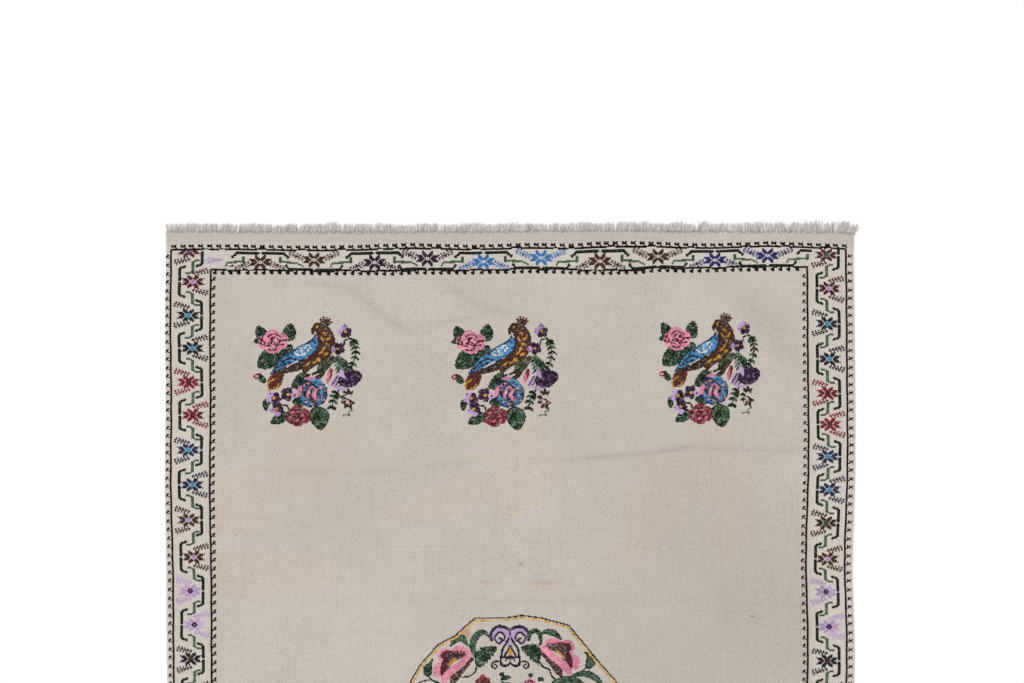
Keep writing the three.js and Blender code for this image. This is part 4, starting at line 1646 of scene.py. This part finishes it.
# Weft yarns lie 1.6 mm apart and warp ribs 3.2 mm apart, as in a hand-woven wool kilim, and a fringe
# yarn's plies turn every 4 mm. Uneven spinning shows as streaks about 5 mm high along the weft and 7 mm
# wide along the warp, the yarns' grain is about 3 mm across, and slow clouds are about half a metre.
WEFT_SPACING = 0.0016
WARP_SPACING = 0.0032
PLY_TURN = 0.004
WEFT_STREAKS = (9.0, 190.0, 1.0)
WARP_STREAKS = (140.0, 5.0, 1.0)
YARN_GRAIN = (330.0, 380.0, 300.0)
SLOW_CLOUDS = (2.2, 2.2, 2.2)

# Old spots, each with its place and reach across and up the rug, in metres, and its colour: a rust
# mark by the medallion's outline, a little run of green dye, two faint rusty smears and a dark speck.
SPOTS = (
    ((-0.126, 0.276), (0.014, 0.024), "b07a40"),
    ((0.032, 0.477), (0.011, 0.008), "7f9486"),
    ((-0.066, 0.424), (0.026, 0.008), "c1a592"),
    ((0.098, 0.425), (0.050, 0.010), "c1a592"),
    ((0.702, 0.326), (0.006, 0.003), "3a322d"),
)

# The noises that tone the wool, each with its share, and those that fray a stain's rim.
WOOL_TONES = ((WEFT_STREAKS, 0.45), (WARP_STREAKS, 0.35), (YARN_GRAIN, 2.7), (SLOW_CLOUDS, 0.6))
STAIN_RIM = ((11.0, 0.55), (55.0, 0.20))

# Blender's Wave texture repeats every tenth of pi divided by its scale.
WAVE_UNIT = np.pi / 10

# Sockets of the Mix node when it mixes colours.
MIX_A = 6
MIX_B = 7
MIX_OUT = 2

# The cloth's wool at its palest and darkest, where clean and where stained, its brown flecks, and the
# fringe's yarn at its palest and darkest.
GROUND_LIGHT = "d8cfc6"
GROUND_DARK = "aea59b"
STAIN_LIGHT = "ddcebe"
STAIN_DARK = "b2a494"
FLECK_BROWN = "6f5c4c"
YARN_LIGHT = "e6e3e0"
YARN_DARK = "938d88"


def spotted(tree, place, wool, spot):
    """The wool's colour with one old spot on it: the spot's colour where the place, counted in the
    spot's reaches from its middle, lies less than about one away, with a blurred, uneven rim."""
    (across, up), (wide, high), hex_colour = spot
    back = (-CLOTH_MIDDLE_X - across, -CLOTH_MIDDLE_Y - up, 0.0)
    offset = add_node(tree, "VectorMath", {1: back}, {0: place}, operation="ADD")
    reaches = add_node(tree, "VectorMath", {1: (1 / wide, 1 / high, 0.0)},
                       {0: offset}, operation="MULTIPLY")
    away = add_node(tree, "VectorMath", links={0: reaches}, operation="LENGTH")
    uneven = add_node(tree, "TexNoise", {"Scale": 120.0, "Detail": 3.0}, {"Vector": place})
    rim_place = add_node(tree, "Math", links={0: away.outputs["Value"], 1: uneven}, operation="ADD")
    amount = add_node(tree, "MapRange", {"From Min": 1.7, "From Max": 0.8, "To Max": 0.6},
                      {"Value": rim_place})
    mixed = add_node(tree, "Mix", {MIX_B: linear(hex_colour)},
                     {"Factor": amount, MIX_A: wool}, data_type="RGBA")
    return mixed.outputs[MIX_OUT]


def ivory_kilim_wool():
    """Hand-spun undyed sheep's wool, woven as a plain weft-faced kilim: matt, with the warp's ribs and
    the weft's rows as relief, uneven yarn that makes long faint streaks both ways, brown flecks of
    darker fleece, and old tan water stains with a sharp wandering rim."""
    material, tree = new_material("ivory_kilim_wool")
    place = add_node(tree, "TexCoord").outputs["Object"]
    # The tone starts from the attribute of paling and darkening, which carries painted shade low on the right
    # and below the creases.
    total = add_node(tree, "Attribute", attribute_name="fade_and_shade").outputs["Fac"]
    for scale, share in WOOL_TONES:
        stretched = add_node(tree, "Mapping", {"Scale": scale}, {"Vector": place})
        noise = add_node(tree, "TexNoise", {"Scale": 1.0, "Detail": 3.0, "Roughness": 0.6},
                         {"Vector": stretched})
        total = add_node(tree, "Math", {1: share}, {0: noise, 2: total},
                         operation="MULTIPLY_ADD").outputs[0]
    tone = add_node(tree, "MapRange", {"From Min": 1.42, "From Max": 2.68}, {"Value": total})
    wool = add_node(tree, "Mix", {MIX_A: linear(GROUND_DARK), MIX_B: linear(GROUND_LIGHT)},
                    {"Factor": tone}, data_type="RGBA")
    tanned = add_node(tree, "Mix", {MIX_A: linear(STAIN_DARK), MIX_B: linear(STAIN_LIGHT)},
                      {"Factor": tone}, data_type="RGBA")
    soiled = add_node(tree, "Attribute", attribute_name="stain").outputs["Fac"]
    for scale, size in STAIN_RIM:
        ragged = add_node(tree, "TexNoise", {"Scale": scale, "Detail": 5.0, "Roughness": 0.68},
                          {"Vector": place})
        soiled = add_node(tree, "Math", {1: size}, {0: ragged, 2: soiled},
                          operation="MULTIPLY_ADD").outputs[0]
    patch = add_node(tree, "MapRange", {"From Min": 0.85, "From Max": 0.92}, {"Value": soiled})
    both = {"Factor": patch, MIX_A: wool.outputs[MIX_OUT], MIX_B: tanned.outputs[MIX_OUT]}
    spotty = add_node(tree, "Mix", links=both, data_type="RGBA").outputs[MIX_OUT]
    for spot in SPOTS:
        spotty = spotted(tree, place, spotty, spot)
    specks = add_node(tree, "TexNoise", {"Scale": 170.0, "Detail": 1.0}, {"Vector": place})
    fleck = add_node(tree, "MapRange", {"From Min": 0.74, "From Max": 0.80, "To Max": 0.55},
                     {"Value": specks})
    flecked = add_node(tree, "Mix", {MIX_B: linear(FLECK_BROWN)},
                       {"Factor": fleck, MIX_A: spotty}, data_type="RGBA")
    rows = add_node(tree, "TexWave", {"Scale": WAVE_UNIT / WEFT_SPACING, "Distortion": 1.2, "Detail": 1.0},
                    {"Vector": place}, bands_direction="Y")
    ribs = add_node(tree, "TexWave", {"Scale": WAVE_UNIT / WARP_SPACING, "Distortion": 0.6},
                    {"Vector": place}, bands_direction="X")
    weave = add_node(tree, "Math", links={0: rows.outputs["Fac"], 1: ribs.outputs["Fac"]},
                     operation="MULTIPLY")
    relief = add_node(tree, "Math", links={0: weave, 1: total}, operation="ADD")
    bump = add_node(tree, "Bump", {"Strength": 0.5, "Distance": 0.0006}, {"Height": relief})
    matt = {"Roughness": 0.95, "Specular IOR Level": 0.15, "Sheen Weight": 0.05, "Sheen Roughness": 0.6}
    shader = add_node(tree, "BsdfPrincipled", matt,
                      {"Base Color": flecked.outputs[MIX_OUT], "Normal": bump})
    add_node(tree, "OutputMaterial", links={"Surface": shader})
    return material


def needle_wool(thread, hex_colour):
    """Dyed worsted embroidery wool in cross-stitch: matt and a little fuzzy, each yarn heathered by
    darker and lighter fibres, faded unevenly over a hand's width. Of the two strands of a stitch,
    the one on top runs from its map's lower left to its upper right."""
    material, tree = new_material("needle_wool_" + thread)
    place = add_node(tree, "TexCoord").outputs["Object"]
    fibres = add_node(tree, "TexNoise", {"Scale": 420.0, "Detail": 2.0, "Roughness": 0.7},
                      {"Vector": place})
    fading = add_node(tree, "TexNoise", {"Scale": 14.0, "Detail": 2.0}, {"Vector": place})
    total = add_node(tree, "Math", links={0: fibres, 1: fading}, operation="ADD")
    tone = add_node(tree, "MapRange", {"From Min": 0.65, "From Max": 1.35}, {"Value": total})
    dyed = add_node(tree, "Mix", {MIX_A: shade_of(hex_colour, 0.62), MIX_B: shade_of(hex_colour, 1.42)},
                    {"Factor": tone}, data_type="RGBA")
    stitch = add_node(tree, "SeparateXYZ",
                      links={0: add_node(tree, "UVMap", uv_map="strands")})
    over = add_node(tree, "Math", links={0: stitch.outputs["X"], 1: stitch.outputs["Y"]},
                    operation="SUBTRACT")
    beside = add_node(tree, "Math", links={0: over}, operation="ABSOLUTE")
    strand = add_node(tree, "MapRange", {"From Min": 0.45, "From Max": 0.25},
                      {"Value": beside}, interpolation_type="SMOOTHSTEP")
    relief = add_node(tree, "Math", {1: 0.5}, {0: fibres, 2: strand}, operation="MULTIPLY_ADD")
    bump = add_node(tree, "Bump", {"Strength": 0.6, "Distance": 0.0005}, {"Height": relief})
    matt = {"Roughness": 0.95, "Specular IOR Level": 0.08, "Sheen Weight": 0.02, "Sheen Roughness": 0.5}
    shader = add_node(tree, "BsdfPrincipled", matt, {"Base Color": dyed.outputs[MIX_OUT], "Normal": bump})
    add_node(tree, "OutputMaterial", links={"Surface": shader})
    return material


def warp_yarn():
    """Two-ply undyed warp yarn, cut at the loom: greyer and harder spun than the cloth, each yarn with a
    tone of its own and paler at its frayed tip, with the ply's turns as relief every 4 mm."""
    material, tree = new_material("undyed_warp_yarn")
    place = add_node(tree, "TexCoord").outputs["Object"]
    yarn = add_node(tree, "SeparateXYZ",
                    links={0: add_node(tree, "UVMap", uv_map="yarn")})
    fibres = add_node(tree, "TexNoise", {"Scale": 300.0, "Detail": 3.0, "Roughness": 0.7},
                      {"Vector": place})
    mixed = add_node(tree, "Math", {1: 0.6}, {0: yarn.outputs["X"], 2: fibres}, operation="MULTIPLY_ADD")
    tip = add_node(tree, "Math", {1: 0.2}, {0: yarn.outputs["Y"], 2: mixed}, operation="MULTIPLY_ADD")
    tone = add_node(tree, "MapRange", {"From Min": 0.3, "From Max": 1.3}, {"Value": tip})
    grey = add_node(tree, "Mix", {MIX_A: linear(YARN_DARK), MIX_B: linear(YARN_LIGHT)},
                    {"Factor": tone}, data_type="RGBA")
    plies = add_node(tree, "TexWave", {"Scale": WAVE_UNIT / PLY_TURN, "Distortion": 1.0},
                     {"Vector": place}, bands_direction="DIAGONAL")
    bump = add_node(tree, "Bump", {"Strength": 0.4, "Distance": 0.0004}, {"Height": plies.outputs["Fac"]})
    matt = {"Roughness": 0.92, "Specular IOR Level": 0.2, "Sheen Weight": 0.15, "Sheen Roughness": 0.5}
    shader = add_node(tree, "BsdfPrincipled", matt, {"Base Color": grey.outputs[MIX_OUT], "Normal": bump})
    add_node(tree, "OutputMaterial", links={"Surface": shader})
    return material


def pale_floor():
    """Plain matt white paint."""
    material, tree = new_material("matt_white_paint")
    shader = add_node(tree, "BsdfPrincipled",
                      {"Base Color": linear("fcfcfc"), "Roughness": 0.9, "Specular IOR Level": 0.1})
    add_node(tree, "OutputMaterial", links={"Surface": shader})
    return material


# STUDIO

def add_floor():
    """A square floor just under the rug."""
    half = 0.5 * FLOOR_SIZE
    points = np.array([(-half, -half, 0), (half, -half, 0), (half, half, 0), (-half, half, 0)])
    points = points - (0, 0, FLOOR_BELOW)
    add_mesh("floor", points, [(0, 1, 2, 3)], pale_floor())


def add_sun():
    """One broad, distant lamp from beyond the head end and a little from the left, which draws the relief
    evenly over the whole rug."""
    light = bpy.data.lights.new("window_lamp", "SUN")
    light.energy = SUN_STRENGTH
    light.angle = SUN_ANGLE
    lamp = bpy.data.objects.new("window_lamp", light)
    lamp.location = SUN_PLACE
    lamp.rotation_euler = (-lamp.location).to_track_quat("-Z", "Y").to_euler()
    bpy.context.scene.collection.objects.link(lamp)


def add_studio():
    """Soft even daylight from all round, and the one lamp."""
    world = bpy.data.worlds.new("studio")
    world.use_nodes = True
    background = world.node_tree.nodes["Background"]
    background.inputs["Color"].default_value = linear("ffffff")
    background.inputs["Strength"].default_value = SKY_STRENGTH
    bpy.context.scene.world = world
    add_sun()
    bpy.context.scene.view_settings.view_transform = "Standard"


def add_camera():
    """A camera straight above the rug's head half, as in the photograph."""
    camera_data = bpy.data.cameras.new("camera")
    camera_data.lens = LENS
    camera_data.sensor_width = SENSOR
    camera = bpy.data.objects.new("camera", camera_data)
    height = CLOTH_TOP + VIEW_WIDE * LENS / SENSOR
    camera.location = (CLOTH_MIDDLE_X + VIEW_ACROSS, CLOTH_MIDDLE_Y + VIEW_UP, height)
    bpy.context.scene.collection.objects.link(camera)
    bpy.context.scene.camera = camera


# THE RUG

def build_rug():
    """The cloth, its needlework thread by thread, and the two fringes, all on the one rigid body."""
    cloth = woven_cloth(ivory_kilim_wool())
    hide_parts("cloth")
    yarn = warp_yarn()
    cells = rug_chart().cells
    needlework = [cross_stitches(thread, NUMBER[thread], cells, needle_wool(thread, colour))
                  for thread, colour in THREADS.items()]
    fringes = []
    for end in (HEAD_FRINGE, FOOT_FRINGE):
        fringe = yarn_fringe(end, yarn)
        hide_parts(end["name"])
        fringes.append(fringe)
    for piece in [cloth] + needlework + fringes:
        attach(piece, "root")


add_camera()
add_studio()
add_floor()
build_rug()
